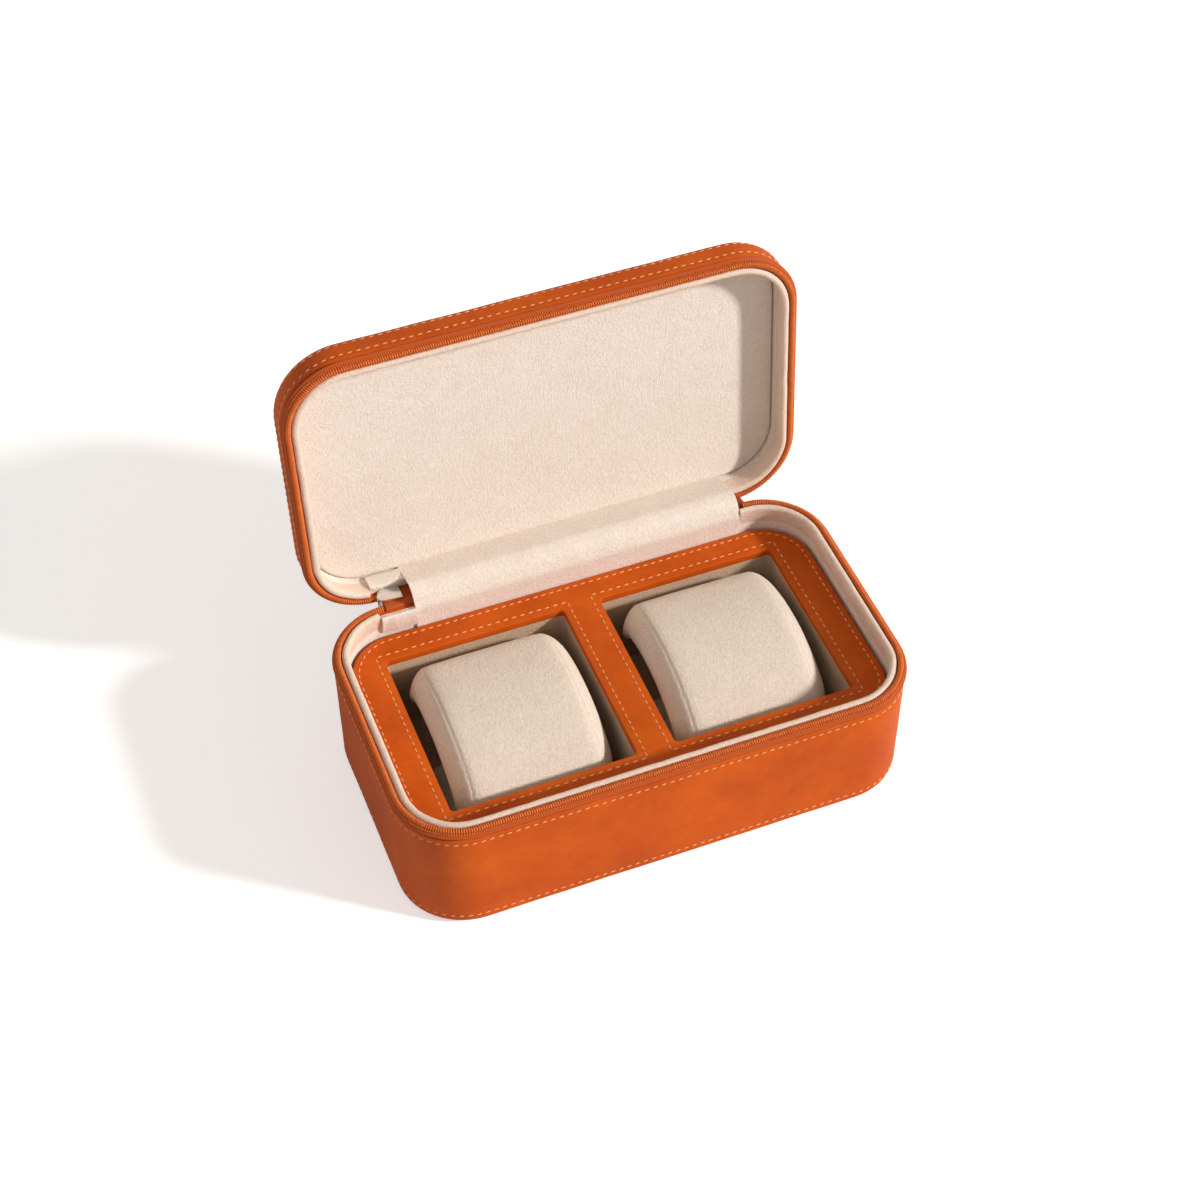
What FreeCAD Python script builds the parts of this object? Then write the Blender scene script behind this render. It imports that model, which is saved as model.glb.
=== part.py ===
"""Travel case for two watches: a zip-round leather case with a hinged lid, modelled open.

Origin: centre of the underside. X runs along the case, Y towards the hinge, Z up. Millimetres.
The base and the lid are both trays, made by the same functions. The lid's tray is modelled
standing on its crown, then turned over onto the base and opened about the hinge line.
"""
import FreeCAD, Part
import Sketcher
import math
import os

# Driving dimensions, in millimetres and degrees
SIZES = {
    "case_length": 180.0,
    "case_width": 103.0,
    "corner_radius": 23.0,
    "base_deck": 47.2,
    "base_round": 4.0,
    "lid_deck": 13.0,
    "lid_round": 5.0,
    "flat_share": 0.634,
    "ease_share": 0.22,
    "leather": 1.1,
    "board": 1.8,
    "panel_inset": 6.0,
    "panel_step": 0.3,
    "lining": 1.4,
    "end_pad": 1.8,
    "rim_rise": 3.0,
    "closing_gap": 0.5,
    "lip_outset": 2.95,
    "lip_width": 3.05,
    "lip_bevel": 0.9,
    "zip_inset": 0.5,
    "tape_width": 2.4,
    "tape_thickness": 0.9,
    "coil_inset": 0.75,
    "coil_width": 2.0,
    "zip_end_gap": 0.2,
    "frame_drop": 7.7,
    "frame_leather": 1.0,
    "frame_board": 2.0,
    "frame_gap": 0.3,
    "frame_bevel": 0.5,
    "window_end_rim": 11.4,
    "window_side_rim": 11.85,
    "window_corner": 1.6,
    "window_shift": 0.7,
    "centre_bar": 13.4,
    "well_wall": 1.2,
    "pillow_end_gap": 5.85,
    "pillow_side_gap": 1.75,
    "pillow_height": 41.2,
    "pillow_thickness": 11.2,
    "pillow_end_flat": 3.5,
    "pillow_tilt": 8.0,
    "pillow_lift_gap": 0.6,
    "pillow_draw": 1.5,
    "pillow_soft_edge": 6.0,
    "pillow_leg": 12.0,
    "panel_gap": 1.2,
    "panel_board": 1.2,
    "panel_pad": 2.2,
    "panel_bevel": 1.1,
    "hinge_inset": 0.5,
    "hinge_drop": 1.2,
    "open_angle": 95.0,
    "flap_left_gap": 11.2,
    "flap_right_gap": 2.7,
    "flap_thickness": 0.8,
    "flap_tuck": 2.5,
    "flap_arch": 4.6,
    "flap_bend": 3.0,
    "spine_end_gap": 21.2,
    "spine_thickness": 1.1,
    "spine_drop": 12.0,
    "spine_bend": 2.0,
    "chain_entry": 1.6,
    "chain_end_gap": 0.6,
    "chain_thickness": 1.0,
    "chain_bend": 0.7,
    "chain_rise": 1.2,
    "slider_end_gap": 0.4,
    "slider_length": 8.4,
    "slider_gap": 0.2,
    "slider_plate": 1.2,
    "slider_channel": 2.5,
    "slider_post": 1.6,
    "slider_ridge": 0.6,
    "bail_length": 4.6,
    "bail_wire": 1.1,
    "puller_length": 22.0,
    "puller_width": 5.0,
    "puller_thickness": 1.2,
    "puller_gap": 0.3,
    "overrun": 1.0,
}

# How the cuff's two ends are eased, as shares of its thickness
NOSE_REACH_SHARE = 0.32
NOSE_WIDTH_SHARE = 0.5


class Size:
    """A length with its number and the formula that draws it from the sheet."""

    def __init__(self, number, formula):
        self.number = number
        self.formula = formula

    def __add__(self, other):
        return combined(self, "+", other)

    def __radd__(self, other):
        return combined(other, "+", self)

    def __sub__(self, other):
        return combined(self, "-", other)

    def __rsub__(self, other):
        return combined(other, "-", self)

    def __mul__(self, other):
        return combined(self, "*", other)

    def __truediv__(self, other):
        return combined(self, "/", other)

    def __neg__(self):
        return combined(0, "-", self)


def combined(left, sign, right):
    """Joins two sizes, or a size and a share, into one size."""
    a = left.number if isinstance(left, Size) else left
    b = right.number if isinstance(right, Size) else right
    left_text = left.formula if isinstance(left, Size) else str(left)
    right_text = right.formula if isinstance(right, Size) else str(right)
    numbers = {"+": a + b, "-": a - b, "*": a * b, "/": a / b if b else 0.0}
    return Size(numbers[sign], "(" + left_text + " " + sign + " " + right_text + ")")


def fill_sheet(document):
    """Writes the driving dimensions into a sheet and gives each cell its name."""
    sheet = document.addObject("Spreadsheet::Sheet", "Sizes")
    for row, (name, value) in enumerate(SIZES.items(), start=1):
        sheet.set("A" + str(row), name)
        sheet.set("B" + str(row), str(value))
        sheet.setAlias("B" + str(row), name)
    document.recompute()
    return {name: Size(sheet.get(name), "Sizes." + name) for name in SIZES}


doc = FreeCAD.newDocument("watch_travel_case")
size = fill_sheet(doc)
ZERO = Size(0.0, "0")

# Sizes that follow from the driving ones
half_length = size["case_length"] / 2
half_width = size["case_width"] / 2
wall_stack = size["leather"] + size["board"]
floor_level = size["leather"] + size["board"]
lining_face = wall_stack + size["lining"]
lid_deck_closed = size["base_deck"] + size["rim_rise"] * 2 + size["closing_gap"]
closed_height = lid_deck_closed + size["lid_deck"]
hinge_y = half_width - size["hinge_inset"]
hinge_z = size["base_deck"] - size["hinge_drop"]
frame_level = size["base_deck"] - size["frame_drop"]
frame_bottom = frame_level - size["frame_leather"] - size["frame_board"]
frame_side = lining_face + size["flap_thickness"] + size["frame_gap"]
window_length = half_length - frame_side - size["end_pad"] - size["window_end_rim"] - size["centre_bar"] / 2
window_width = (half_width - frame_side - size["window_side_rim"]) * 2
window_centre = (size["centre_bar"] + window_length) / 2
pillow_length = window_length - size["pillow_end_gap"] * 2
pillow_depth = window_width - size["pillow_side_gap"] * 2
coil_line = size["coil_inset"] + size["coil_width"] / 2
zip_end = half_length - size["corner_radius"] + size["zip_end_gap"]
slider_centre = zip_end - size["slider_end_gap"] - size["slider_length"] / 2

# Where the lid stands: turned over onto the base, then opened about the hinge line
OVER = FreeCAD.Placement(
    FreeCAD.Vector(0, 0, closed_height.number), FreeCAD.Rotation(FreeCAD.Vector(1, 0, 0), 180)
)
HINGE = FreeCAD.Vector(0, hinge_y.number, hinge_z.number)
OPENED = FreeCAD.Placement(
    FreeCAD.Vector(0, 0, 0), FreeCAD.Rotation(FreeCAD.Vector(1, 0, 0), -size["open_angle"].number), HINGE
)
LID_PLACE = OPENED.multiply(OVER)
BASE_PLACE = FreeCAD.Placement()
sub_parts = []


def keep(item, placement=BASE_PLACE):
    """Counts an object as a sub-part and puts it in its place."""
    item.Placement = placement
    sub_parts.append(item)
    return item


def new_body(label):
    """Starts a body under the name that its file takes."""
    body = doc.addObject("PartDesign::Body", label)
    body.Label = label
    return body


def base_plane(body, role):
    """The body's own origin plane of that role."""
    return [plane for plane in body.Origin.OriginFeatures if plane.Role == role][0]


def new_sketch(body, level, role="XY_Plane"):
    """A sketch on one of the body's planes, raised to a level along its normal."""
    sketch = body.newObject("Sketcher::SketchObject", body.Name + "_sketch")
    sketch.AttachmentSupport = [(base_plane(body, role), "")]
    sketch.MapMode = "FlatFace"
    sketch.setExpression("AttachmentOffset.Base.z", level.formula)
    return sketch


def place_edge(sketch, direction, line, position):
    """Holds a straight side at a signed distance from the sketch's origin."""
    kind = "Distance" + direction
    if position.number < 0:
        index = sketch.addConstraint(Sketcher.Constraint(kind, line, 1, -1, 1, -position.number))
        sketch.setExpression("Constraints[" + str(index) + "]", (-position).formula)
    else:
        index = sketch.addConstraint(Sketcher.Constraint(kind, -1, 1, line, 1, position.number))
        sketch.setExpression("Constraints[" + str(index) + "]", position.formula)


def rounded_outline(sketch, left, right, front, back, radius):
    """Draws a rectangle with rounded corners and binds its four sides and its radius."""
    x0, x1, y0, y1, r = left.number, right.number, front.number, back.number, radius.number
    first = sketch.GeometryCount
    corners = ((x1 - r, y1 - r), (x0 + r, y1 - r), (x0 + r, y0 + r), (x1 - r, y0 + r))
    for turn, (x, y) in enumerate(corners):
        circle = Part.Circle(FreeCAD.Vector(x, y, 0), FreeCAD.Vector(0, 0, 1), r)
        sketch.addGeometry(Part.ArcOfCircle(circle, turn * math.pi / 2, (turn + 1) * math.pi / 2))
    for turn in range(4):
        start = sketch.getPoint(first + turn, 2)
        end = sketch.getPoint(first + (turn + 1) % 4, 1)
        sketch.addGeometry(Part.LineSegment(start, end))
    for turn in range(4):
        line = first + 4 + turn
        sketch.addConstraint(Sketcher.Constraint("Tangent", first + turn, 2, line, 1))
        sketch.addConstraint(Sketcher.Constraint("Tangent", line, 2, first + (turn + 1) % 4, 1))
        sketch.addConstraint(Sketcher.Constraint("Vertical" if turn % 2 else "Horizontal", line))
    for turn in range(1, 4):
        sketch.addConstraint(Sketcher.Constraint("Equal", first, first + turn))
    index = sketch.addConstraint(Sketcher.Constraint("Radius", first, r))
    sketch.setExpression("Constraints[" + str(index) + "]", radius.formula)
    place_edge(sketch, "Y", first + 4, back)
    place_edge(sketch, "X", first + 5, left)
    place_edge(sketch, "Y", first + 6, front)
    place_edge(sketch, "X", first + 7, right)


def case_outline(sketch, inset, end_inset=ZERO):
    """The case's own outline, drawn in all round by an inset and further at its two ends."""
    x = half_length - inset - end_inset
    y = half_width - inset
    rounded_outline(sketch, -x, x, -y, y, size["corner_radius"] - inset)


def pad(body, sketch, height):
    """Raises a sketch into a solid."""
    feature = body.newObject("PartDesign::Pad", body.Name + "_pad")
    feature.Profile = sketch
    feature.setExpression("Length", height.formula)
    doc.recompute()
    return feature


def pocket(body, sketch, depth, upwards=False):
    """Cuts a sketch down into the solid, or up into it."""
    feature = body.newObject("PartDesign::Pocket", body.Name + "_pocket")
    feature.Profile = sketch
    feature.Reversed = upwards
    feature.setExpression("Length", depth.formula)
    doc.recompute()
    return feature


def bevel_edges(body, chosen, distance):
    """Bevels the edges of the body's last shape that a test chooses."""
    last = body.Tip
    names = ["Edge" + str(i) for i, edge in enumerate(last.Shape.Edges, start=1) if chosen(edge)]
    feature = body.newObject("PartDesign::Chamfer", body.Name + "_bevel")
    feature.Base = (last, names)
    feature.setExpression("Size", distance.formula)
    doc.recompute()
    return feature


def ease_edges(body, level, radius):
    """Rounds a tray's lower edge in three flats that follow an arc, which keeps its corners light."""
    first = radius * size["flat_share"]
    bevel_edges(body, at_level(level), first)
    bevel_edges(body, either(at_level(level), at_level(level + first)), radius * size["ease_share"])


def either(one, other):
    """A test that passes what one of two tests passes."""
    return lambda edge: one(edge) or other(edge)


def at_level(level):
    """A test for edges that lie flat at one height."""
    near = 1e-4

    def test(edge):
        box = edge.BoundBox
        return abs(box.ZMin - level.number) < near and abs(box.ZMax - level.number) < near

    return test


def ring(label, placement, level, height, outer, inner, end_inset=ZERO, outer_end=ZERO):
    """A wall that follows the case's outline between two insets."""
    body = new_body(label)
    sketch = new_sketch(body, level)
    case_outline(sketch, outer, outer_end)
    case_outline(sketch, inner, end_inset)
    pad(body, sketch, height)
    return keep(body, placement)


def cut_back(body, side, deck, height):
    """Takes away the straight stretch of a ring along the hinge side."""
    sketch = new_sketch(body, deck + height)
    inner_edge = (half_width - size["corner_radius"]) * side
    outer_edge = (half_width + size["overrun"]) * side
    front, back = (inner_edge, outer_edge) if side > 0 else (outer_edge, inner_edge)
    rounded_outline(sketch, -zip_end, zip_end, front, back, size["overrun"])
    pocket(body, sketch, height)


def tray_shell(label, placement, deck, bottom_round):
    """Stiff board tray: a floor and four walls."""
    body = new_body(label)
    sketch = new_sketch(body, size["leather"])
    case_outline(sketch, size["leather"])
    pad(body, sketch, deck - size["leather"])
    bevel_edges(body, at_level(size["leather"]), (bottom_round - size["leather"]) * size["flat_share"])
    hollow = new_sketch(body, deck)
    case_outline(hollow, wall_stack)
    pocket(body, hollow, deck - floor_level)
    return keep(body, placement)


def tray_leather(label, placement, deck, bottom_round):
    """Leather wrapped round a tray's walls and turned in under its floor, a step above the panel."""
    outside = new_body(label + "_outside")
    sketch = new_sketch(outside, size["panel_step"])
    case_outline(sketch, ZERO)
    pad(outside, sketch, deck - size["panel_step"])
    ease_edges(outside, size["panel_step"], bottom_round - size["panel_step"])
    opening = new_sketch(outside, size["leather"])
    case_outline(opening, size["panel_inset"])
    pocket(outside, opening, size["leather"])
    inside = new_body(label + "_inside")
    hollow = new_sketch(inside, size["leather"])
    case_outline(hollow, size["leather"])
    pad(inside, hollow, deck)
    bevel_edges(inside, at_level(size["leather"]), (bottom_round - size["leather"]) * size["flat_share"])
    wrap = doc.addObject("Part::Cut", label)
    wrap.Label = label
    wrap.Base = outside
    wrap.Tool = inside
    doc.recompute()
    return keep(wrap, placement)


def flat_panel(label, placement, level, thickness, inset, end_inset=ZERO):
    """A flat sheet with the case's outline."""
    body = new_body(label)
    sketch = new_sketch(body, level)
    case_outline(sketch, inset, end_inset)
    pad(body, sketch, thickness)
    return keep(body, placement)


def rolled_lip(label, placement, deck, side):
    """Rolled suede edge that stands up inside the zip."""
    outer = size["lip_outset"]
    inner = outer + size["lip_width"]
    body = ring(label, placement, deck, size["rim_rise"], outer, inner, size["end_pad"])
    bevel_edges(body, at_level(deck + size["rim_rise"]), size["lip_bevel"])
    cut_back(body, side, deck, size["rim_rise"])
    return body


def zip_tape(label, placement, deck, side):
    """Woven tape of one half of the zip, lying on the tray's edge."""
    outer = size["zip_inset"]
    inner = outer + size["tape_width"]
    body = ring(label, placement, deck, size["tape_thickness"], outer, inner)
    cut_back(body, side, deck, size["tape_thickness"])
    return body


def zip_coil(label, placement, deck, side):
    """Coil of one half of the zip, standing on its tape."""
    outer = size["coil_inset"]
    level = deck + size["tape_thickness"]
    height = size["rim_rise"] - size["tape_thickness"]
    body = ring(label, placement, level, height, outer, outer + size["coil_width"])
    cut_back(body, side, level, height)
    return body


def tray(name, placement, deck, bottom_round, panel_name, side):
    """One half of the case: board, leather, lining, lip and zip."""
    tray_shell(name + "_shell", placement, deck, bottom_round)
    tray_leather(name + "_leather_wall", placement, deck, bottom_round)
    flat_panel(name + panel_name, placement, ZERO, size["leather"], size["panel_inset"])
    height = deck - floor_level
    ring(name + "_lining", placement, floor_level, height, wall_stack, lining_face, size["end_pad"])
    rolled_lip(name + "_lining_lip", placement, deck, side)
    zip_tape(name + "_zip_tape", placement, deck, side)
    zip_coil(name + "_zip_coil", placement, deck, side)


def window(sketch, side, grow):
    """One window of the insert, grown all round by a margin."""
    inner_edge = size["centre_bar"] / 2 - grow
    outer_edge = size["centre_bar"] / 2 + window_length + grow
    left, right = (inner_edge, outer_edge) if side > 0 else (-outer_edge, -inner_edge)
    front = size["window_shift"] - window_width / 2 - grow
    back = size["window_shift"] + window_width / 2 + grow
    rounded_outline(sketch, left, right, front, back, size["window_corner"] + grow)


def insert_frame():
    """Leather-wrapped frame with two windows, and the board inside it."""
    side_inset = frame_side
    leather = new_body("insert_frame_leather")
    sketch = new_sketch(leather, frame_bottom)
    case_outline(sketch, side_inset, size["end_pad"])
    pad(leather, sketch, size["frame_leather"] + size["frame_board"])
    bevel_edges(leather, at_level(frame_level), size["frame_bevel"])
    windows = new_sketch(leather, frame_level)
    window(windows, -1, ZERO)
    window(windows, 1, ZERO)
    pocket(leather, windows, size["frame_leather"] + size["frame_board"])
    under = new_sketch(leather, frame_bottom)
    case_outline(under, side_inset + size["frame_leather"], size["end_pad"])
    window(under, -1, size["frame_leather"])
    window(under, 1, size["frame_leather"])
    pocket(leather, under, size["frame_board"], upwards=True)
    keep(leather)
    board = new_body("insert_frame_board")
    outline = new_sketch(board, frame_bottom)
    case_outline(outline, side_inset + size["frame_leather"], size["end_pad"])
    window(outline, -1, size["frame_leather"])
    window(outline, 1, size["frame_leather"])
    pad(board, outline, size["frame_board"])
    keep(board)


def well(label, side):
    """Suede-covered box under one window."""
    body = new_body(label)
    sketch = new_sketch(body, floor_level)
    window(sketch, side, size["well_wall"])
    pad(body, sketch, frame_bottom - floor_level)
    hollow = new_sketch(body, frame_bottom)
    window(hollow, side, ZERO)
    pocket(body, hollow, frame_bottom - floor_level - size["well_wall"])
    keep(body)


def lid_panel():
    """Card and padded suede panel on the floor of the lid."""
    inset = lining_face + size["panel_gap"]
    flat_panel("lid_panel_board", LID_PLACE, floor_level, size["panel_board"], inset, size["end_pad"])
    pad_level = floor_level + size["panel_board"]
    body = flat_panel("lid_panel", LID_PLACE, pad_level, size["panel_pad"], inset, size["end_pad"])
    bevel_edges(body, at_level(pad_level + size["panel_pad"]), size["panel_bevel"])


def arc_through(centre, radius, start, end):
    """An arc in the Y-Z plane about a centre, between two angles from +Y towards +Z."""
    points = []
    for share in (0.0, 0.5, 1.0):
        angle = start + (end - start) * share
        points.append(centre + FreeCAD.Vector(0, radius * math.cos(angle), radius * math.sin(angle)))
    return Part.Arc(*points).toShape()


def cuff_profile(half_depth, half_height, end_radius, outer, inner, leg_angle, foot_angle):
    """Closed outline of a C-shaped band that follows a four-centre oval, open low at the back."""
    rise = 2 * (half_height - end_radius)
    big = (half_depth ** 2 + half_height ** 2 - 2 * half_depth * end_radius) / rise
    small_y = half_depth - end_radius
    big_z = big - half_height
    join = math.atan2(big_z, small_y)
    back = FreeCAD.Vector(0, small_y, 0)
    front = FreeCAD.Vector(0, -small_y, 0)
    top = FreeCAD.Vector(0, 0, -big_z)
    bottom = FreeCAD.Vector(0, 0, big_z)
    stretches = (
        (back, end_radius, leg_angle, join),
        (top, big, join, math.pi - join),
        (front, end_radius, math.pi - join, math.pi + join),
        (bottom, big, math.pi + join, foot_angle),
    )
    outside = [arc_through(c, r + outer, a, b) for c, r, a, b in stretches]
    inside = [arc_through(c, r - inner, b, a) for c, r, a, b in reversed(stretches)]
    leg = end_cap(back, end_radius, leg_angle, -1, outer, inner)
    foot = end_cap(bottom, big, foot_angle, 1, outer, inner)
    return Part.Wire(outside + foot + inside + leg[::-1])


def end_cap(centre, radius, angle, way, outer, inner):
    """Three straight edges that close a band's end in an eased nose."""
    out = FreeCAD.Vector(0, math.cos(angle), math.sin(angle))
    ahead = FreeCAD.Vector(0, -math.sin(angle), math.cos(angle)) * way
    nose = ahead * (outer + inner) * NOSE_REACH_SHARE
    points = [
        centre + out * (radius + outer),
        centre + out * (radius + outer * NOSE_WIDTH_SHARE) + nose,
        centre + out * (radius - inner * NOSE_WIDTH_SHARE) + nose,
        centre + out * (radius - inner),
    ]
    return [Part.LineSegment(points[k], points[k + 1]).toShape() for k in range(len(points) - 1)]


def cuff_solid(stations):
    """Lofts a band through outlines at places along X, each with its own thickness outside and inside."""
    half_depth = (pillow_depth.number - size["pillow_thickness"].number) / 2
    half_height = (size["pillow_height"].number - size["pillow_thickness"].number) / 2
    leg_angle = size["pillow_leg"].number * math.pi / 180
    foot_angle = math.pi + math.pi / 2
    end_radius = half_height - size["pillow_end_flat"].number
    wires = []
    for x, outer, inner in stations:
        wire = cuff_profile(half_depth, half_height, end_radius, outer, inner, leg_angle, foot_angle)
        wire.translate(FreeCAD.Vector(x, 0, 0))
        wires.append(wire)
    return Part.makeLoft(wires, True, True).removeSplitter()


def pillow(label, side):
    """Padded suede cuff: thickest in the middle, drawn in towards its two sides."""
    half = pillow_length.number / 2
    thick = size["pillow_thickness"].number / 2
    drawn = thick - size["pillow_draw"].number
    soft = half - size["pillow_soft_edge"].number
    cushion = cuff_solid(
        ((-half, drawn, thick), (-soft, thick, thick), (soft, thick, thick), (half, drawn, thick))
    )
    tilt = FreeCAD.Rotation(FreeCAD.Vector(1, 0, 0), size["pillow_tilt"].number)
    reach = size["pillow_height"].number / 2 + size["pillow_lift_gap"].number
    level = floor_level.number + size["well_wall"].number + reach
    item = doc.addObject("Part::Feature", label)
    item.Label = label
    item.Shape = cushion
    centre = FreeCAD.Vector(window_centre.number * side, size["window_shift"].number, level)
    keep(item, FreeCAD.Placement(centre, tilt))


def opened(y, z):
    """Where a point of the closed lid lies once the lid is open."""
    point = OPENED.multVec(FreeCAD.Vector(0, y, z))
    return point.y, point.z


def bent_sheet(label, points, bend, thickness, left, right):
    """A sheet of even thickness that follows a bent path in Y-Z and runs from left to right."""
    half = thickness / 2
    sides = []
    for sign in (1, -1):
        edges = []
        offset = [shifted(points, index, sign * half) for index in range(len(points))]
        start = offset[0]
        for index in range(1, len(points) - 1):
            before, corner, after = offset[index - 1], offset[index], offset[index + 1]
            turn = (corner - before).cross(after - corner).x
            radius = bend + half if turn * sign < 0 else bend - half
            arc, first, last = corner_arc(before, corner, after, radius)
            edges.append(Part.LineSegment(start, first).toShape())
            edges.append(arc)
            start = last
        edges.append(Part.LineSegment(start, offset[-1]).toShape())
        sides.append((offset, edges))
    caps = [Part.LineSegment(sides[0][0][end], sides[1][0][end]).toShape() for end in (0, -1)]
    outline = Part.Wire(Part.__sortEdges__(sides[0][1] + sides[1][1] + caps))
    sheet = Part.Face(outline).extrude(FreeCAD.Vector(right - left, 0, 0))
    item = doc.addObject("Part::Feature", label)
    item.Label = label
    item.Shape = sheet
    return keep(item, FreeCAD.Placement(FreeCAD.Vector(left, 0, 0), FreeCAD.Rotation()))


def shifted(points, index, distance):
    """A point of a path moved sideways, on the crossing of its two shifted runs."""
    runs = [points[k + 1] - points[k] for k in (index - 1, index) if 0 <= k < len(points) - 1]
    normals = [FreeCAD.Vector(0, -run.z, run.y).normalize() for run in runs]
    middle = sum(normals[1:], normals[0])
    middle.normalize()
    return points[index] + middle * (distance / middle.dot(normals[0]))


def corner_arc(before, corner, after, radius):
    """The arc that rounds a corner, with the two points where it leaves the runs."""
    back = (before - corner).normalize()
    ahead = (after - corner).normalize()
    half_angle = back.getAngle(ahead) / 2
    reach = radius / math.tan(half_angle)
    first = corner + back * reach
    last = corner + ahead * reach
    middle = (back + ahead).normalize()
    centre = corner + middle * (radius / math.sin(half_angle))
    top = centre - middle * radius
    return Part.Arc(first, top, last).toShape(), first, last


def path(*pairs):
    """Points of a path in the Y-Z plane."""
    return [FreeCAD.Vector(0, y, z) for y, z in pairs]


def hinge_flap():
    """Suede flap inside the fold: from behind the insert, over the back rim, under the lid's panel."""
    half = size["flap_thickness"].number / 2
    y = half_width.number - lining_face.number - half
    start = frame_bottom.number - size["flap_tuck"].number
    deck = size["base_deck"].number
    arch = deck + size["flap_arch"].number
    lid_edge = lid_deck_closed.number
    panel_top = closed_height.number - floor_level.number - size["panel_board"].number
    points = path(
        (y, start),
        (y, arch - half),
        ((y + hinge_y.number + half) / 2 + size["rim_rise"].number, arch + half),
        opened(y, lid_edge),
        opened(y, panel_top),
    )
    left = size["flap_left_gap"] - zip_end
    right = zip_end - size["flap_right_gap"]
    bent_sheet("hinge_flap", points, size["flap_bend"].number, 2 * half, left.number, right.number)


def hinge_zip():
    """The closed stretch of zip in the fold, from the base's edge to the lid's."""
    y = half_width.number - coil_line.number
    deck = size["base_deck"].number
    thickness = size["chain_thickness"].number
    rise = size["chain_rise"].number
    points = path(
        (y, deck),
        (y, deck + rise),
        opened(y, lid_deck_closed.number - rise),
        opened(y, lid_deck_closed.number),
    )
    left = size["chain_entry"] - slider_centre
    right = zip_end - size["chain_end_gap"]
    bent_sheet("hinge_zip", points, size["chain_bend"].number, thickness, left.number, right.number)


def hinge_spine():
    """Leather strip outside the fold, sewn to the back of the base and of the lid."""
    half = size["spine_thickness"].number / 2
    y = half_width.number + half
    deck = size["base_deck"].number
    fold = opened(y, lid_deck_closed.number)
    points = path(
        (y, deck - size["spine_drop"].number),
        (y, fold[1]),
        fold,
        opened(y, lid_deck_closed.number + size["spine_drop"].number * 2 / 3),
    )
    right = (zip_end - size["spine_end_gap"]).number
    bent_sheet("hinge_spine", points, size["spine_bend"].number, 2 * half, -right, right)


def block(x, y, z):
    """A box between two corners, given as pairs along each axis."""
    return Part.makeBox(x[1] - x[0], y[1] - y[0], z[1] - z[0], FreeCAD.Vector(x[0], y[0], z[0]))


def zip_slider():
    """Slider body: faceted inner plate, outer plate, the post between them and the bail."""
    length = size["slider_length"].number
    gap = size["slider_gap"].number
    plate = size["slider_plate"].number
    channel = size["slider_channel"].number
    ridge = size["slider_ridge"].number
    low = size["base_deck"].number + gap
    high = lid_deck_closed.number - gap
    middle = (low + high) / 2
    half_height = (high - low) / 2
    y = half_width.number - coil_line.number
    x = -slider_centre.number
    left, right = x - length / 2, x + length / 2
    inner_face = y - channel / 2
    outer_face = y + channel / 2
    along_y = FreeCAD.Vector(0, 1, 0)
    nose_centre = FreeCAD.Vector(left + half_height, inner_face - plate * 2, middle)
    nose = Part.makeCylinder(half_height, plate * 4 + channel, nose_centre, along_y)
    tail = block((left + half_height, right), (inner_face - plate * 2, outer_face + plate * 2), (low, high))
    outline = nose.fuse(tail).removeSplitter()
    ridge_x = x - length / 6
    profile = [
        (left, inner_face),
        (right, inner_face),
        (right, inner_face - plate + ridge),
        (ridge_x, inner_face - plate),
        (left, inner_face - plate + ridge),
        (left, inner_face),
    ]
    facets = Part.Face(Part.makePolygon([FreeCAD.Vector(px, py, low) for px, py in profile]))
    inner = facets.extrude(FreeCAD.Vector(0, 0, high - low)).common(outline)
    outer = block((left, right), (outer_face, outer_face + plate), (low, high)).common(outline)
    post_centre = FreeCAD.Vector(left + half_height / 2, inner_face, middle)
    post = Part.makeCylinder(size["slider_post"].number / 2, channel, post_centre, along_y)
    wire = size["bail_wire"].number
    bail_half = size["bail_length"].number / 2
    loop = wire / 2 + size["puller_gap"].number + size["puller_thickness"].number
    top = outer_face + plate + size["puller_gap"].number + loop + wire / 2
    thick = (middle - wire / 2, middle + wire / 2)
    bar_start = FreeCAD.Vector(x - bail_half, top - wire / 2, middle)
    bar = Part.makeCylinder(wire / 2, 2 * bail_half, bar_start, FreeCAD.Vector(1, 0, 0))
    legs = []
    for sign in (-1, 1):
        leg_x = x + sign * bail_half
        legs.append(block((leg_x - wire / 2, leg_x + wire / 2), (outer_face + plate, top), thick))
    body = inner.multiFuse([outer, post, bar] + legs).removeSplitter()
    item = doc.addObject("Part::Feature", "zip_slider")
    item.Label = "zip_slider"
    item.Shape = body
    keep(item, OPENED)
    return FreeCAD.Vector(x, top - wire / 2, middle)


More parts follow.
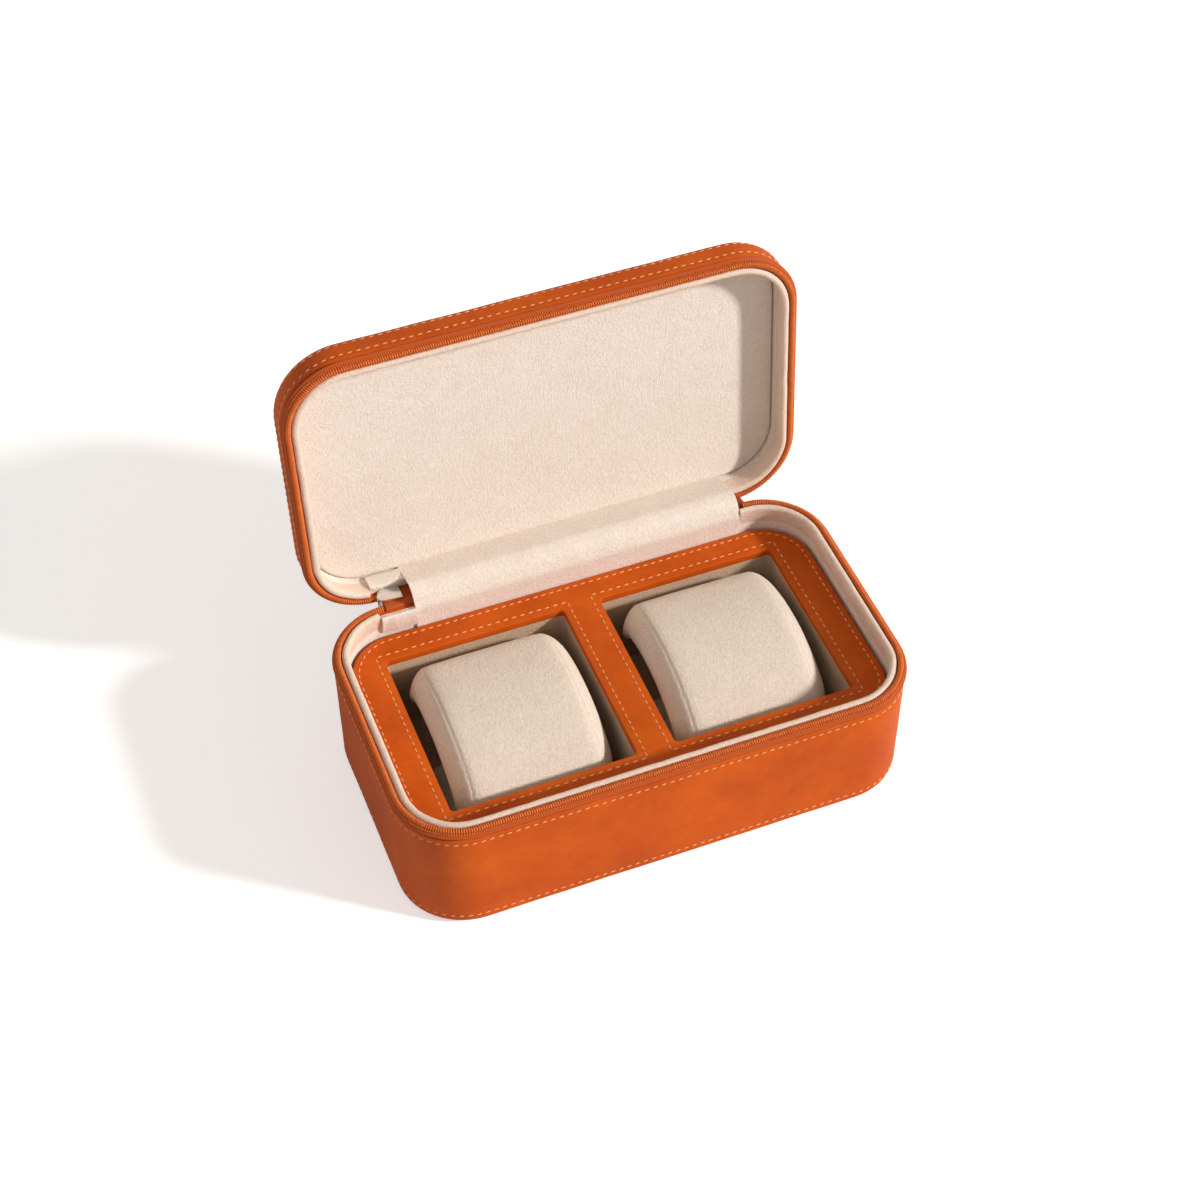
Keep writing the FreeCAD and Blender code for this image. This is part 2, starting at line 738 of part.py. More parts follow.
def zip_puller(pivot):
    """Pull tab that hangs straight down from the slider's bail while the lid is open."""
    eye = size["bail_wire"].number / 2 + size["puller_gap"].number
    half = size["puller_width"].number / 2
    thickness = size["puller_thickness"].number
    length = size["puller_length"].number
    neck = size["bail_length"].number / 2 - size["bail_wire"].number / 2 - size["puller_gap"].number
    loop = eye + thickness
    place = OPENED.multVec(pivot)
    barrel = Part.makeCylinder(loop, 2 * neck, FreeCAD.Vector(-neck, 0, 0), FreeCAD.Vector(1, 0, 0))
    hole = Part.makeCylinder(eye, 2 * half, FreeCAD.Vector(-half, 0, 0), FreeCAD.Vector(1, 0, 0))
    neck_plate = block((-neck, neck), (-thickness / 2, thickness / 2), (-half - loop, 0))
    blade = block((-half, half), (-thickness / 2, thickness / 2), (half - length, -loop - half / 2))
    tip_centre = FreeCAD.Vector(0, -thickness / 2, half - length)
    tip = Part.makeCylinder(half, thickness, tip_centre, FreeCAD.Vector(0, 1, 0))
    body = barrel.multiFuse([neck_plate, blade, tip]).cut(hole).removeSplitter()
    item = doc.addObject("Part::Feature", "zip_puller")
    item.Label = "zip_puller"
    item.Shape = body
    keep(item, FreeCAD.Placement(place, FreeCAD.Rotation()))
    print("puller pivot", [round(v, 3) for v in place])


def check_and_write():
    """Stops on any failed object, then writes one file for each sub-part."""
    doc.recompute()
    failed = [item.Name for item in doc.Objects if "Invalid" in item.State or "Error" in item.State]
    for item in sub_parts:
        if item.Shape.isNull() or not item.Shape.isValid() or not item.Shape.Solids:
            failed.append(item.Label)
    if failed:
        raise RuntimeError("failed objects: " + ", ".join(failed))
    os.makedirs("parts", exist_ok=True)
    for item in sub_parts:
        item.Shape.exportStep("parts/" + item.Label + ".step")
        box = item.Shape.BoundBox
        print(item.Label, len(item.Shape.Solids), round(item.Shape.Volume, 1),
              [round(v, 2) for v in (box.XMin, box.YMin, box.ZMin, box.XMax, box.YMax, box.ZMax)])


tray("base", BASE_PLACE, size["base_deck"], size["base_round"], "_leather_bottom", 1)
insert_frame()
well("left_well", -1)
well("right_well", 1)
pillow("left_pillow", -1)
pillow("right_pillow", 1)
tray("lid", LID_PLACE, size["lid_deck"], size["lid_round"], "_leather_top", -1)
lid_panel()
hinge_flap()
hinge_zip()
hinge_spine()
zip_puller(zip_slider())
check_and_write()
print("hinge line", [round(v, 3) for v in HINGE])
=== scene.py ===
# %% [markdown]
# # A zip-round leather travel case for two watches
# The imported model is a fixed frame. Every visible piece here is built round it, in metres, and
# rides on one of its bodies, but for the three strips across the fold.

# %% Load the frame
import math

import bmesh
import bpy
from mathutils import Matrix, Vector, noise


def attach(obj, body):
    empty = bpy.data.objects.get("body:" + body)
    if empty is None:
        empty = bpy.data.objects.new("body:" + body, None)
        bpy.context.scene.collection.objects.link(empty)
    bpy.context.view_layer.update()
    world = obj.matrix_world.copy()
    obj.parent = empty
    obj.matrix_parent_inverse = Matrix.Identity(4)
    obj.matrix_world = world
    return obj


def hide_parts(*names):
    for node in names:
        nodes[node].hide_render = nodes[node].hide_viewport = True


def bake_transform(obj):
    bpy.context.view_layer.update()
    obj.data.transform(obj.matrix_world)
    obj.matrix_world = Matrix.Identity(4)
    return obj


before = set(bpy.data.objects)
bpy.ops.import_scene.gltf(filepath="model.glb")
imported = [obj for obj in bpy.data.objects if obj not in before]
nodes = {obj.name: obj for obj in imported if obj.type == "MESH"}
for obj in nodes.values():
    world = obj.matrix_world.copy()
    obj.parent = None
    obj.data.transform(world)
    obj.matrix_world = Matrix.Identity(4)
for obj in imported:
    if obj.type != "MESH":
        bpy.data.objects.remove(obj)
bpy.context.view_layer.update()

# %% [markdown]
# ## Sizes of the case
# The case is two trays with one rounded outline. These are the sizes of that outline and of the
# layers inside it, in millimetres, as the frame has them. Only END_PAD is less: suede lies thinner
# at the two ends here, so that a band of the same width shows all round.

# %% Sizes and places
MM = 0.001
HALF_LENGTH, HALF_WIDTH, CORNER = 90.0, 51.5, 23.0
BASE_DECK, LID_DECK, CLOSED_HEIGHT = 47.2, 13.0, 66.7
BASE_ROUND, LID_ROUND = 3.7, 4.7
PANEL_STEP, PANEL_INSET = 0.3, 6.0
LEATHER, WALL_STACK, LINING_FACE, END_PAD = 1.1, 2.9, 4.3, 0.3
LIP_OUT, LIP_IN, RIM_RISE = 3.0, 5.2, 2.7
FRAME_LEVEL, FRAME_SIDE = 39.5, 5.4
WINDOW_X, WINDOW_Y, WINDOW_HALF_X, WINDOW_HALF_Y = 39.05, 0.7, 32.35, 34.25
HINGE = Vector((0.0, 51.0, 46.0))
OPEN_ANGLE = math.radians(95.0)

OPENED = Matrix.Translation(HINGE) @ Matrix.Rotation(-OPEN_ANGLE, 4, "X") @ Matrix.Translation(-HINGE)
TURNED_OVER = Matrix.Translation((0.0, 0.0, CLOSED_HEIGHT)) @ Matrix.Diagonal((1.0, 1.0, -1.0, 1.0))
ON_BASE = Matrix.Identity(4)
ON_LID = OPENED @ TURNED_OVER
print("lid opened", round(math.degrees(OPEN_ANGLE)), "degrees")


def opened(y, z):
    """Where a point of the closed lid lies now that the lid is open, as (y, z)."""
    point = OPENED @ Vector((0.0, y, z))
    return point.y, point.z


# %% [markdown]
# ## Materials
# One function turns an sRGB hex value to the linear colour that Blender works in, and one adds a
# node with its settings and links. Each material is named for the real stuff and how it was made.

# %% Colour and node helpers
def linear(hex_value):
    """The linear RGBA of an sRGB hex value."""
    channels = [int(hex_value[k:k + 2], 16) / 255 for k in (1, 3, 5)]
    return [c / 12.92 if c <= 0.04045 else ((c + 0.055) / 1.055) ** 2.4 for c in channels] + [1.0]


def add_node(tree, kind, inputs=None, **settings):
    """Adds a node; an input is a value, or another node's output to link from."""
    node = tree.nodes.new(kind)
    for key, value in settings.items():
        setattr(node, key, value)
    for key, value in (inputs or {}).items():
        if isinstance(value, bpy.types.NodeSocket):
            tree.links.new(value, node.inputs[key])
        else:
            node.inputs[key].default_value = value
    return node


def new_material(name):
    """A material with its node tree and its shader."""
    material = bpy.data.materials.new(name)
    material.use_nodes = True
    tree = material.node_tree
    return material, tree, tree.nodes["Principled BSDF"]


def per_mm(size):
    """The pattern scale at which one feature of a noise is that many millimetres wide."""
    return 1.0 / (size * MM)


# %% [markdown]
# ### Leather
# Smooth calf leather, dyed through and lightly waxed. The dye takes unevenly, so the colour drifts
# over a few centimetres, and the grain is a net of shallow creases about 0.7 mm across.

# %% Calf leather
def calf_leather(name, light, dark, grain_depth):
    """Waxed leather with drifting dye and a fine net of creases."""
    material, tree, shader = new_material(name)
    place = add_node(tree, "ShaderNodeTexCoord").outputs["Object"]
    drift = add_node(
        tree, "ShaderNodeTexNoise", {"Vector": place, "Scale": per_mm(22), "Detail": 3.0, "Roughness": 0.55}
    )
    mottle = add_node(
        tree, "ShaderNodeTexNoise", {"Vector": place, "Scale": per_mm(2.4), "Detail": 4.0, "Roughness": 0.6}
    )
    both = add_node(
        tree,
        "ShaderNodeMath",
        {0: mottle.outputs["Fac"], 1: 0.35, 2: drift.outputs["Fac"]},
        operation="MULTIPLY_ADD",
    )
    dye = add_node(tree, "ShaderNodeValToRGB", {"Fac": both.outputs[0]})
    dye.color_ramp.elements[0].position = 0.42
    dye.color_ramp.elements[0].color = linear(dark)
    dye.color_ramp.elements[1].position = 0.92
    dye.color_ramp.elements[1].color = linear(light)
    tree.links.new(dye.outputs["Color"], shader.inputs["Base Color"])
    creases = add_node(
        tree,
        "ShaderNodeTexVoronoi",
        {"Vector": place, "Scale": per_mm(0.75), "Randomness": 1.0},
        feature="DISTANCE_TO_EDGE",
    )
    pebble = add_node(tree, "ShaderNodeMapRange", {"Value": creases.outputs["Distance"], "From Max": 0.16})
    fine = add_node(tree, "ShaderNodeTexNoise", {"Vector": place, "Scale": per_mm(0.35), "Detail": 2.0})
    height = add_node(
        tree,
        "ShaderNodeMath",
        {0: fine.outputs["Fac"], 1: 0.5, 2: pebble.outputs[0]},
        operation="MULTIPLY_ADD",
    )
    relief = add_node(
        tree, "ShaderNodeBump", {"Height": height.outputs[0], "Strength": 0.35, "Distance": grain_depth * MM}
    )
    tree.links.new(relief.outputs["Normal"], shader.inputs["Normal"])
    gloss = add_node(
        tree, "ShaderNodeMapRange", {"Value": drift.outputs["Fac"], "To Min": 0.44, "To Max": 0.58}
    )
    tree.links.new(gloss.outputs[0], shader.inputs["Roughness"])
    shader.inputs["Specular IOR Level"].default_value = 0.15
    return material


leather = calf_leather("waxed_calf_leather", "#d05c0e", "#b54707", 0.05)
frame_leather = calf_leather("waxed_calf_leather_frame", "#cf5c0f", "#b64908", 0.04)
print("leather", leather.name, frame_leather.name)

# %% [markdown]
# ### Suede
# Split leather brushed to a short nap. The nap lies this way and that, so it shows soft light and
# dark patches a few millimetres across over a fine mottle, and it glows at grazing angles. The
# cuffs and the lip are of the same leather in slightly darker dyes. The wells are lined with the
# same cream suede, and their darker beige-brown is painted shade of the deep wells.

# %% Brushed suede
def brushed_suede(name, light, dark):
    """Suede with a short nap that lies in soft patches."""
    material, tree, shader = new_material(name)
    place = add_node(tree, "ShaderNodeTexCoord").outputs["Object"]
    lay = add_node(
        tree, "ShaderNodeTexNoise", {"Vector": place, "Scale": per_mm(9), "Detail": 3.0, "Roughness": 0.5}
    )
    nap = add_node(
        tree, "ShaderNodeTexNoise", {"Vector": place, "Scale": per_mm(1.25), "Detail": 3.0, "Roughness": 0.55}
    )
    both = add_node(
        tree,
        "ShaderNodeMath",
        {0: lay.outputs["Fac"], 1: 0.35, 2: nap.outputs["Fac"]},
        operation="MULTIPLY_ADD",
    )
    tone = add_node(tree, "ShaderNodeValToRGB", {"Fac": both.outputs[0]})
    tone.color_ramp.elements[0].position = 0.32
    tone.color_ramp.elements[0].color = linear(dark)
    tone.color_ramp.elements[1].position = 1.0
    tone.color_ramp.elements[1].color = linear(light)
    tree.links.new(tone.outputs["Color"], shader.inputs["Base Color"])
    fibre = add_node(tree, "ShaderNodeTexNoise", {"Vector": place, "Scale": per_mm(0.45), "Detail": 3.0})
    height = add_node(
        tree,
        "ShaderNodeMath",
        {0: nap.outputs["Fac"], 1: 0.8, 2: fibre.outputs["Fac"]},
        operation="MULTIPLY_ADD",
    )
    relief = add_node(
        tree, "ShaderNodeBump", {"Height": height.outputs[0], "Strength": 0.8, "Distance": 0.34 * MM}
    )
    tree.links.new(relief.outputs["Normal"], shader.inputs["Normal"])
    shader.inputs["Roughness"].default_value = 0.95
    shader.inputs["Specular IOR Level"].default_value = 0.15
    shader.inputs["Sheen Weight"].default_value = 0.12
    shader.inputs["Sheen Roughness"].default_value = 0.45
    return material


suede = brushed_suede("brushed_suede_cream", "#efe5dc", "#decfc1")
cuff_suede = brushed_suede("brushed_suede_cuff", "#e6dacd", "#d4c4b3")
# The wells' suede is the cream suede made darker as painted shade, not a darker dye.
well_suede_painted_shade = brushed_suede("brushed_suede_painted_well_shade", "#cbb197", "#b69b80")
lip_suede = brushed_suede("brushed_suede_lip", "#ecd6c6", "#dac1af")
print("suedes", [m.name for m in (suede, cuff_suede, well_suede_painted_shade, lip_suede)])

# %% [markdown]
# ### Zip, thread, metal and board
# The tape is woven polyester, the coil moulded nylon, the thread waxed and twisted, the slider
# polished nickel plate on zinc, and the trays are dense grey board that only a cut edge shows.

# %% Zip, thread, metal and board
def woven_tape(name, light, dark):
    """Woven tape with fine ribs across it."""
    material, tree, shader = new_material(name)
    cloth = add_node(tree, "ShaderNodeUVMap", uv_map="UVMap").outputs["UV"]
    # Ribs 0.6 mm apart run across the tape. At scale 1 the wave node's bands are pi / 10 apart.
    ribs = add_node(
        tree,
        "ShaderNodeTexWave",
        {"Vector": cloth, "Scale": per_mm(0.6) * math.pi / 10, "Distortion": 0.6, "Detail": 1.0},
        bands_direction="X",
    )
    tone = add_node(tree, "ShaderNodeValToRGB", {"Fac": ribs.outputs["Fac"]})
    tone.color_ramp.elements[0].color = linear(dark)
    tone.color_ramp.elements[1].color = linear(light)
    tree.links.new(tone.outputs["Color"], shader.inputs["Base Color"])
    relief = add_node(
        tree, "ShaderNodeBump", {"Height": ribs.outputs["Fac"], "Strength": 0.4, "Distance": 0.05 * MM}
    )
    tree.links.new(relief.outputs["Normal"], shader.inputs["Normal"])
    shader.inputs["Roughness"].default_value = 0.8
    return material


def mottled(name, light, dark, grain, rough, metallic=0.0, bump=0.03):
    """A finish whose colour and surface vary over one grain size."""
    material, tree, shader = new_material(name)
    place = add_node(tree, "ShaderNodeTexCoord").outputs["Object"]
    cloud = add_node(tree, "ShaderNodeTexNoise", {"Vector": place, "Scale": per_mm(grain), "Detail": 3.0})
    tone = add_node(tree, "ShaderNodeValToRGB", {"Fac": cloud.outputs["Fac"]})
    tone.color_ramp.elements[0].position = 0.3
    tone.color_ramp.elements[0].color = linear(dark)
    tone.color_ramp.elements[1].position = 0.7
    tone.color_ramp.elements[1].color = linear(light)
    tree.links.new(tone.outputs["Color"], shader.inputs["Base Color"])
    gloss = add_node(
        tree,
        "ShaderNodeMapRange",
        {"Value": cloud.outputs["Fac"], "To Min": rough * 0.8, "To Max": rough * 1.2},
    )
    tree.links.new(gloss.outputs[0], shader.inputs["Roughness"])
    relief = add_node(
        tree, "ShaderNodeBump", {"Height": cloud.outputs["Fac"], "Strength": 0.3, "Distance": bump * MM}
    )
    tree.links.new(relief.outputs["Normal"], shader.inputs["Normal"])
    shader.inputs["Metallic"].default_value = metallic
    return material


tape_cloth = woven_tape("woven_polyester_tape", "#ba4f0e", "#a4420b")
coil_nylon = mottled("moulded_nylon_coil", "#d96d1d", "#c45c15", 1.5, 0.55)
thread = mottled("waxed_linen_thread", "#f1ae7e", "#da9057", 0.3, 0.6, bump=0.05)
nickel = mottled("polished_nickel_plate", "#f4f2ee", "#e9e6e1", 3.0, 0.26, metallic=1.0, bump=0.004)
board = mottled("dense_grey_board", "#8b8278", "#6f675e", 0.8, 0.95)
print("other finishes", [m.name for m in (tape_cloth, coil_nylon, thread, nickel, board)])

# %% [markdown]
# ## Following the outline
# Wall, lining, lip, tape and teeth all follow one rounded rectangle at different insets. A station
# names a place on the outline as a share of its straights and a corner angle, so the same station
# fits every inset. An open run leaves out the straight along the hinge, where the zip stops.

# %% Stations round the outline
def case_stations(open_back, per_corner=14, along=38, across=16):
    """Places round the outline, from the back left corner by the left, front and right sides."""
    corners = ((-1, 1, 90), (-1, -1, 180), (1, -1, 270), (1, 1, 0))
    stations = []
    for index, (qx, qy, start) in enumerate(corners):
        for k in range(per_corner + 1):
            stations.append((qx, qy, math.radians(start + 90 * k / per_corner)))
        if index == 3 and open_back:
            break
        next_x, next_y, _ = corners[(index + 1) % 4]
        steps = along if index % 2 else across
        for k in range(1, steps):
            share = k / steps
            turned = math.radians(start + 90)
            stations.append((qx + (next_x - qx) * share, qy + (next_y - qy) * share, turned))
    return stations


def ring_point(station, inset, end_inset=0.0):
    """The point of the outline at a station, moved in by an inset and further at the two ends."""
    qx, qy, angle = station
    radius = max(CORNER - inset, 2.0)
    x = qx * (HALF_LENGTH - end_inset - inset - radius) + radius * math.cos(angle)
    y = qy * (HALF_WIDTH - inset - radius) + radius * math.sin(angle)
    return x, y


ALL_ROUND = case_stations(False)
ZIP_RUN = case_stations(True)
STRAIGHT_BACK = math.radians(90)
# The lip stops short of the slider on the left, and on the right goes on until it meets the flap.
LIP_RUN = ZIP_RUN[1:] + [(0.985, 1, STRAIGHT_BACK), (0.97, 1, STRAIGHT_BACK)]
print("stations", len(ALL_ROUND), "all round,", len(ZIP_RUN), "along the zip")

# %% [markdown]
# A sweep carries a closed cross-section along the stations. Its UV map is the distance round the
# case and the distance round the section, in metres, which the tape's weave reads.

# %% Sweeping a section
def running_length(points):
    """Distances along a list of points, in metres."""
    total = [0.0]
    for before, after in zip(points, points[1:]):
        total.append(total[-1] + (Vector(after) - Vector(before)).length * MM)
    return total


def skin(rings, closed, along, across):
    """A closed mesh through rings of points in millimetres, with its UV map."""
    shape = bmesh.new()
    layer = shape.loops.layers.uv.new("UVMap")
    verts = [[shape.verts.new(Vector(point) * MM) for point in ring] for ring in rings]
    count, size = len(verts), len(verts[0])
    for i in range(count if closed else count - 1):
        for j in range(size):
            corners = ((i, j), (i + 1, j), (i + 1, j + 1), (i, j + 1))
            face = shape.faces.new([verts[a % count][b % size] for a, b in corners])
            for loop, (a, b) in zip(face.loops, corners):
                loop[layer].uv = (along[a], across[b])
    if not closed:
        shape.faces.new(list(reversed(verts[0])))
        shape.faces.new(verts[-1])
    bmesh.ops.recalc_face_normals(shape, faces=shape.faces)
    return shape


def sweep(stations, section, closed, place, slack=0.0, wave=18.0):
    """Carries a section of (inset, end inset, level) round; slack lets the leather wander a little."""
    rings = []
    for station in stations:
        ring = []
        out = Vector((math.cos(station[2]), math.sin(station[2]), 0.0))
        for inset, end_inset, level in section:
            x, y = ring_point(station, inset, end_inset)
            point = Vector((x, y, level))
            if slack:
                point += out * slack * (noise.noise(point / wave) - 0.35)
            ring.append(place @ point)
        rings.append(ring)
    path = [ring_point(station, 0.0) + (0.0,) for station in stations]
    along = running_length(path + path[:1])
    across = running_length([(a, b, 0.0) for a, _, b in section + section[:1]])
    return skin(rings, closed, along, across)


def to_mesh(name, shape, smooth_under=40.0):
    """Writes a bmesh to a mesh, smooth but for edges sharper than an angle."""
    mesh = bpy.data.meshes.new(name)
    shape.to_mesh(mesh)
    shape.free()
    mesh.polygons.foreach_set("use_smooth", [True] * len(mesh.polygons))
    mesh.set_sharp_from_angle(angle=math.radians(smooth_under))
    return mesh


def put(name, mesh, material, slot, body, *replaced):
    """Places a finished mesh as a piece that rides on a body."""
    item = bpy.data.objects.new(name, mesh)
    bpy.context.scene.collection.objects.link(item)
    mesh.materials.clear()
    mesh.materials.append(material)
    if replaced:
        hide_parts(*replaced)
    if body:
        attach(item, body)
    print(name, len(mesh.polygons), "faces")
    return item


# %% [markdown]
# ## Leather walls
# The leather is one strip glued round the board, turned in over its edge and under its floor. Two
# rows of stitches pull it into shallow grooves, and a deeper one shows as a dark line where its top
# edge turns in under the zip. The section is drawn with all of them and the rounded lower edge,
# because a flat wall would show none.

# %% Leather walls
STITCH_DROP = 3.5
GROOVE_HALF, GROOVE_DEPTH = 0.75, 0.2


def groove(level):
    """Section points of the groove under a row of stitches on the wall."""
    steps = ((-1.0, 0.0), (-0.55, 0.45), (0.0, 1.0), (0.55, 0.45), (1.0, 0.0))
    return [(depth * GROOVE_DEPTH, 0.0, level + share * GROOVE_HALF) for share, depth in steps]


def wall_section(deck, edge_round, low_above):
    """Closed section of a leather wall: under the floor, round the edge, up, and turned in."""
    centre = edge_round + PANEL_STEP
    section = [(PANEL_INSET + 0.4, 0.0, PANEL_STEP + 0.25), (PANEL_INSET - 0.1, 0.0, PANEL_STEP)]
    for k in range(9):
        turn = math.radians(90.0 * k / 8)
        section.append((edge_round * (1 - math.sin(turn)), 0.0, centre - edge_round * math.cos(turn)))
    low = centre + low_above
    high = deck - STITCH_DROP
    foot = centre
    if low_above > GROOVE_HALF:
        section += groove(low)
        foot = low + GROOVE_HALF
    rise = high - GROOVE_HALF - foot
    section += [(0.0, 0.0, foot + rise * k / 8) for k in range(1, 8)]
    section += groove(high)
    turned_edge = [(0.0, -1.55), (0.15, -1.25), (0.6, -1.1), (0.75, -0.6), (0.78, 0.02)]
    turned_edge += [(1.7, 0.1), (WALL_STACK, 0.1), (WALL_STACK, 0.0), (LEATHER, 0.0)]
    section += [(inset, 0.0, deck + rise) for inset, rise in turned_edge]
    inside = [(LEATHER, deck / 2), (LEATHER, centre), (centre, LEATHER), (PANEL_INSET + 0.4, LEATHER)]
    section += [(inset, 0.0, level) for inset, level in inside]
    return section, low, high


base_section, base_low_row, base_high_row = wall_section(BASE_DECK, BASE_ROUND, 1.0)
lid_section, lid_low_row, lid_high_row = wall_section(LID_DECK, LID_ROUND, -0.7)
for side, section, place in (("base", base_section, ON_BASE), ("lid", lid_section, ON_LID)):
    name = side + "_leather"
    wall = to_mesh(name, sweep(ALL_ROUND, section, True, place, slack=0.16))
    put(name, wall, leather, "orange_leather", side, name + "_wall")
print("stitch rows at", base_low_row, base_high_row, lid_low_row, lid_high_row)

# %% [markdown]
# ## Suede linings and rolled lips
# Suede covers card round the inside of each tray and comes up into a soft roll just inside the
# zip. The roll is thick, so its section bulges over the lining and fades into it below.

# %% Linings and lips
def lining_section(deck):
    """Section of the card lining, from the floor to just under the deck."""
    levels = [WALL_STACK + (deck - WALL_STACK - 0.3) * k / 8 for k in range(9)]
    face = [(LINING_FACE, END_PAD, level) for level in levels]
    top = [(LINING_FACE - 0.25, END_PAD, deck - 0.05), (WALL_STACK, 0.0, deck)]
    return face + top + [(WALL_STACK, 0.0, deck / 2), (WALL_STACK, 0.0, WALL_STACK)]


def lip_section(deck):
    """Section of the rolled edge: a round crown that runs down into the lining."""
    half = (LIP_IN - LIP_OUT) / 2
    middle = LIP_OUT + half
    centre = deck + RIM_RISE - half
    section = [(LIP_OUT, 0.0, deck), (LIP_OUT, 0.0, centre - 0.2)]
    for k in range(1, 12):
        turn = math.radians(180.0 * k / 12)
        share = (1 - math.cos(turn)) / 2
        section.append((middle - half * math.cos(turn), END_PAD * share, centre + half * math.sin(turn)))
    section.append((LIP_IN, END_PAD, centre - 0.1))
    face = [(LIP_IN - 0.05, 0.6), (LIP_IN - 0.2, -0.9), (LIP_IN - 0.45, -2.2), (LIP_IN - 0.7, -3.4)]
    face += [(LINING_FACE, -4.6), (LINING_FACE - 0.4, -4.6), (LINING_FACE - 0.4, 0.0)]
    return section + [(inset, END_PAD, deck + rise) for inset, rise in face]


for side, deck, place in (("base", BASE_DECK, ON_BASE), ("lid", LID_DECK, ON_LID)):
    name = side + "_suede_lining"
    lining = to_mesh(name, sweep(ALL_ROUND, lining_section(deck), True, place, slack=0.12, wave=9.0))
    put(name, lining, suede, "cream_suede", side, side + "_lining")
    name = side + "_suede_lip"
    lip = to_mesh(name, sweep(LIP_RUN, lip_section(deck), False, place, slack=0.22, wave=7.0), 60.0)
    put(name, lip, lip_suede, "cream_suede", side, side + "_lining_lip")

# %% [markdown]
# In front of the slider the suede has no card lip under it. It folds over the edge as a soft roll
# that keeps clear of the slider, with a crease where the lip stops, and runs in under the flap. The
# lid's roll is flatter, because the slider rides over it.

# %% Soft rolls in front of the slider
def roll_section(deck, fullness):
    """Section of the soft fold over the edge, further in than the lip and as high as its fullness."""
    crown = [(3.0, -0.4), (3.0, 0.1), (4.1, 0.12), (4.5, 0.6), (4.85, 1.25)]
    section = [(inset, 0.0, deck + rise * fullness) for inset, rise in crown]
    face = [(5.3, 1.6), (5.75, 1.45), (6.05, 0.9), (6.15, 0.1)]
    section += [(inset, END_PAD, deck + rise * fullness) for inset, rise in face]
    hidden = [(6.1, -1.4), (5.9, -3.2), (5.6, -5.0), (5.1, -6.4), (LINING_FACE - 0.6, -6.4)]
    section += [(inset, END_PAD, deck + rise) for inset, rise in hidden]
    return section + [(LINING_FACE - 0.6, 0.0, deck - 1.0)]


ROLL_SHARES = (-0.83, -0.846, -0.86, -0.88, -0.91, -0.94, -0.97, -0.985, -0.995)
ROLL_RUN = [(share, 1, STRAIGHT_BACK) for share in ROLL_SHARES]
ROLL_RUN += [(-1, 1, math.radians(92)), (-1, 1, math.radians(95))]
for side, deck, place, fullness in (("base", BASE_DECK, ON_BASE, 1.0), ("lid", LID_DECK, ON_LID, 0.3)):
    name = side + "_suede_roll"
    roll = sweep(ROLL_RUN, roll_section(deck, fullness), False, place, slack=0.3, wave=5.0)
    put(name, to_mesh(name, roll, 60.0), suede, "cream_suede", side)

# %% [markdown]
# ## The zip
# Each half of the zip is a woven tape with a nylon coil sewn along it. Seen close, the coil is a
# row of small hoops 0.8 mm apart over a cord. A hoop is modelled once and Geometry Nodes set it
# along the line, which keeps the pitch even round the corners. The tape's outer edge is piped and
# sewn beside the coil, with one short grain of thread for each hoop.

# %% Tapes
COIL_LINE, COIL_RISE, TOOTH_PITCH = 1.75, 0.9, 0.8
SEWING_LINE, SEWING_RISE = 0.42, 1.45
SEWING_SIZE = (0.5 * MM, 0.95 * MM, 0.5 * MM)


def tape_section(deck):
    """Section of the tape: a piped edge over the wall, a sewn shoulder and the cord inside the coil."""
    piping = [(0.5, -0.05), (0.15, -0.25), (-0.15, -0.2), (-0.34, 0.05), (-0.4, 0.4), (-0.3, 0.75)]
    shoulder = [(-0.05, 0.95), (0.15, 1.0), (0.3, 1.3), (0.55, 1.62), (0.8, 1.6)]
    cord = [(1.0, 1.9), (1.3, 2.4), (1.75, 2.5), (2.2, 2.4), (2.52, 1.9), (2.65, 1.0)]
    return [(inset, 0.0, deck + rise) for inset, rise in piping + shoulder + cord + [(2.9, 0.8), (2.9, 0.0)]]


for side, deck, place in (("base", BASE_DECK, ON_BASE), ("lid", LID_DECK, ON_LID)):
    tape = to_mesh(side + "_tape", sweep(ZIP_RUN, tape_section(deck), False, place))
    put(side + "_tape", tape, tape_cloth, "zip_tape", side, side + "_zip_tape")

# %% [markdown]
# The tree takes a path and a piece. It turns the path to a curve, divides it at the pitch, sets the
# piece at each point with its X along the path and its Z along the path's own "out" direction,
# and makes the copies real, because the export drops instances.

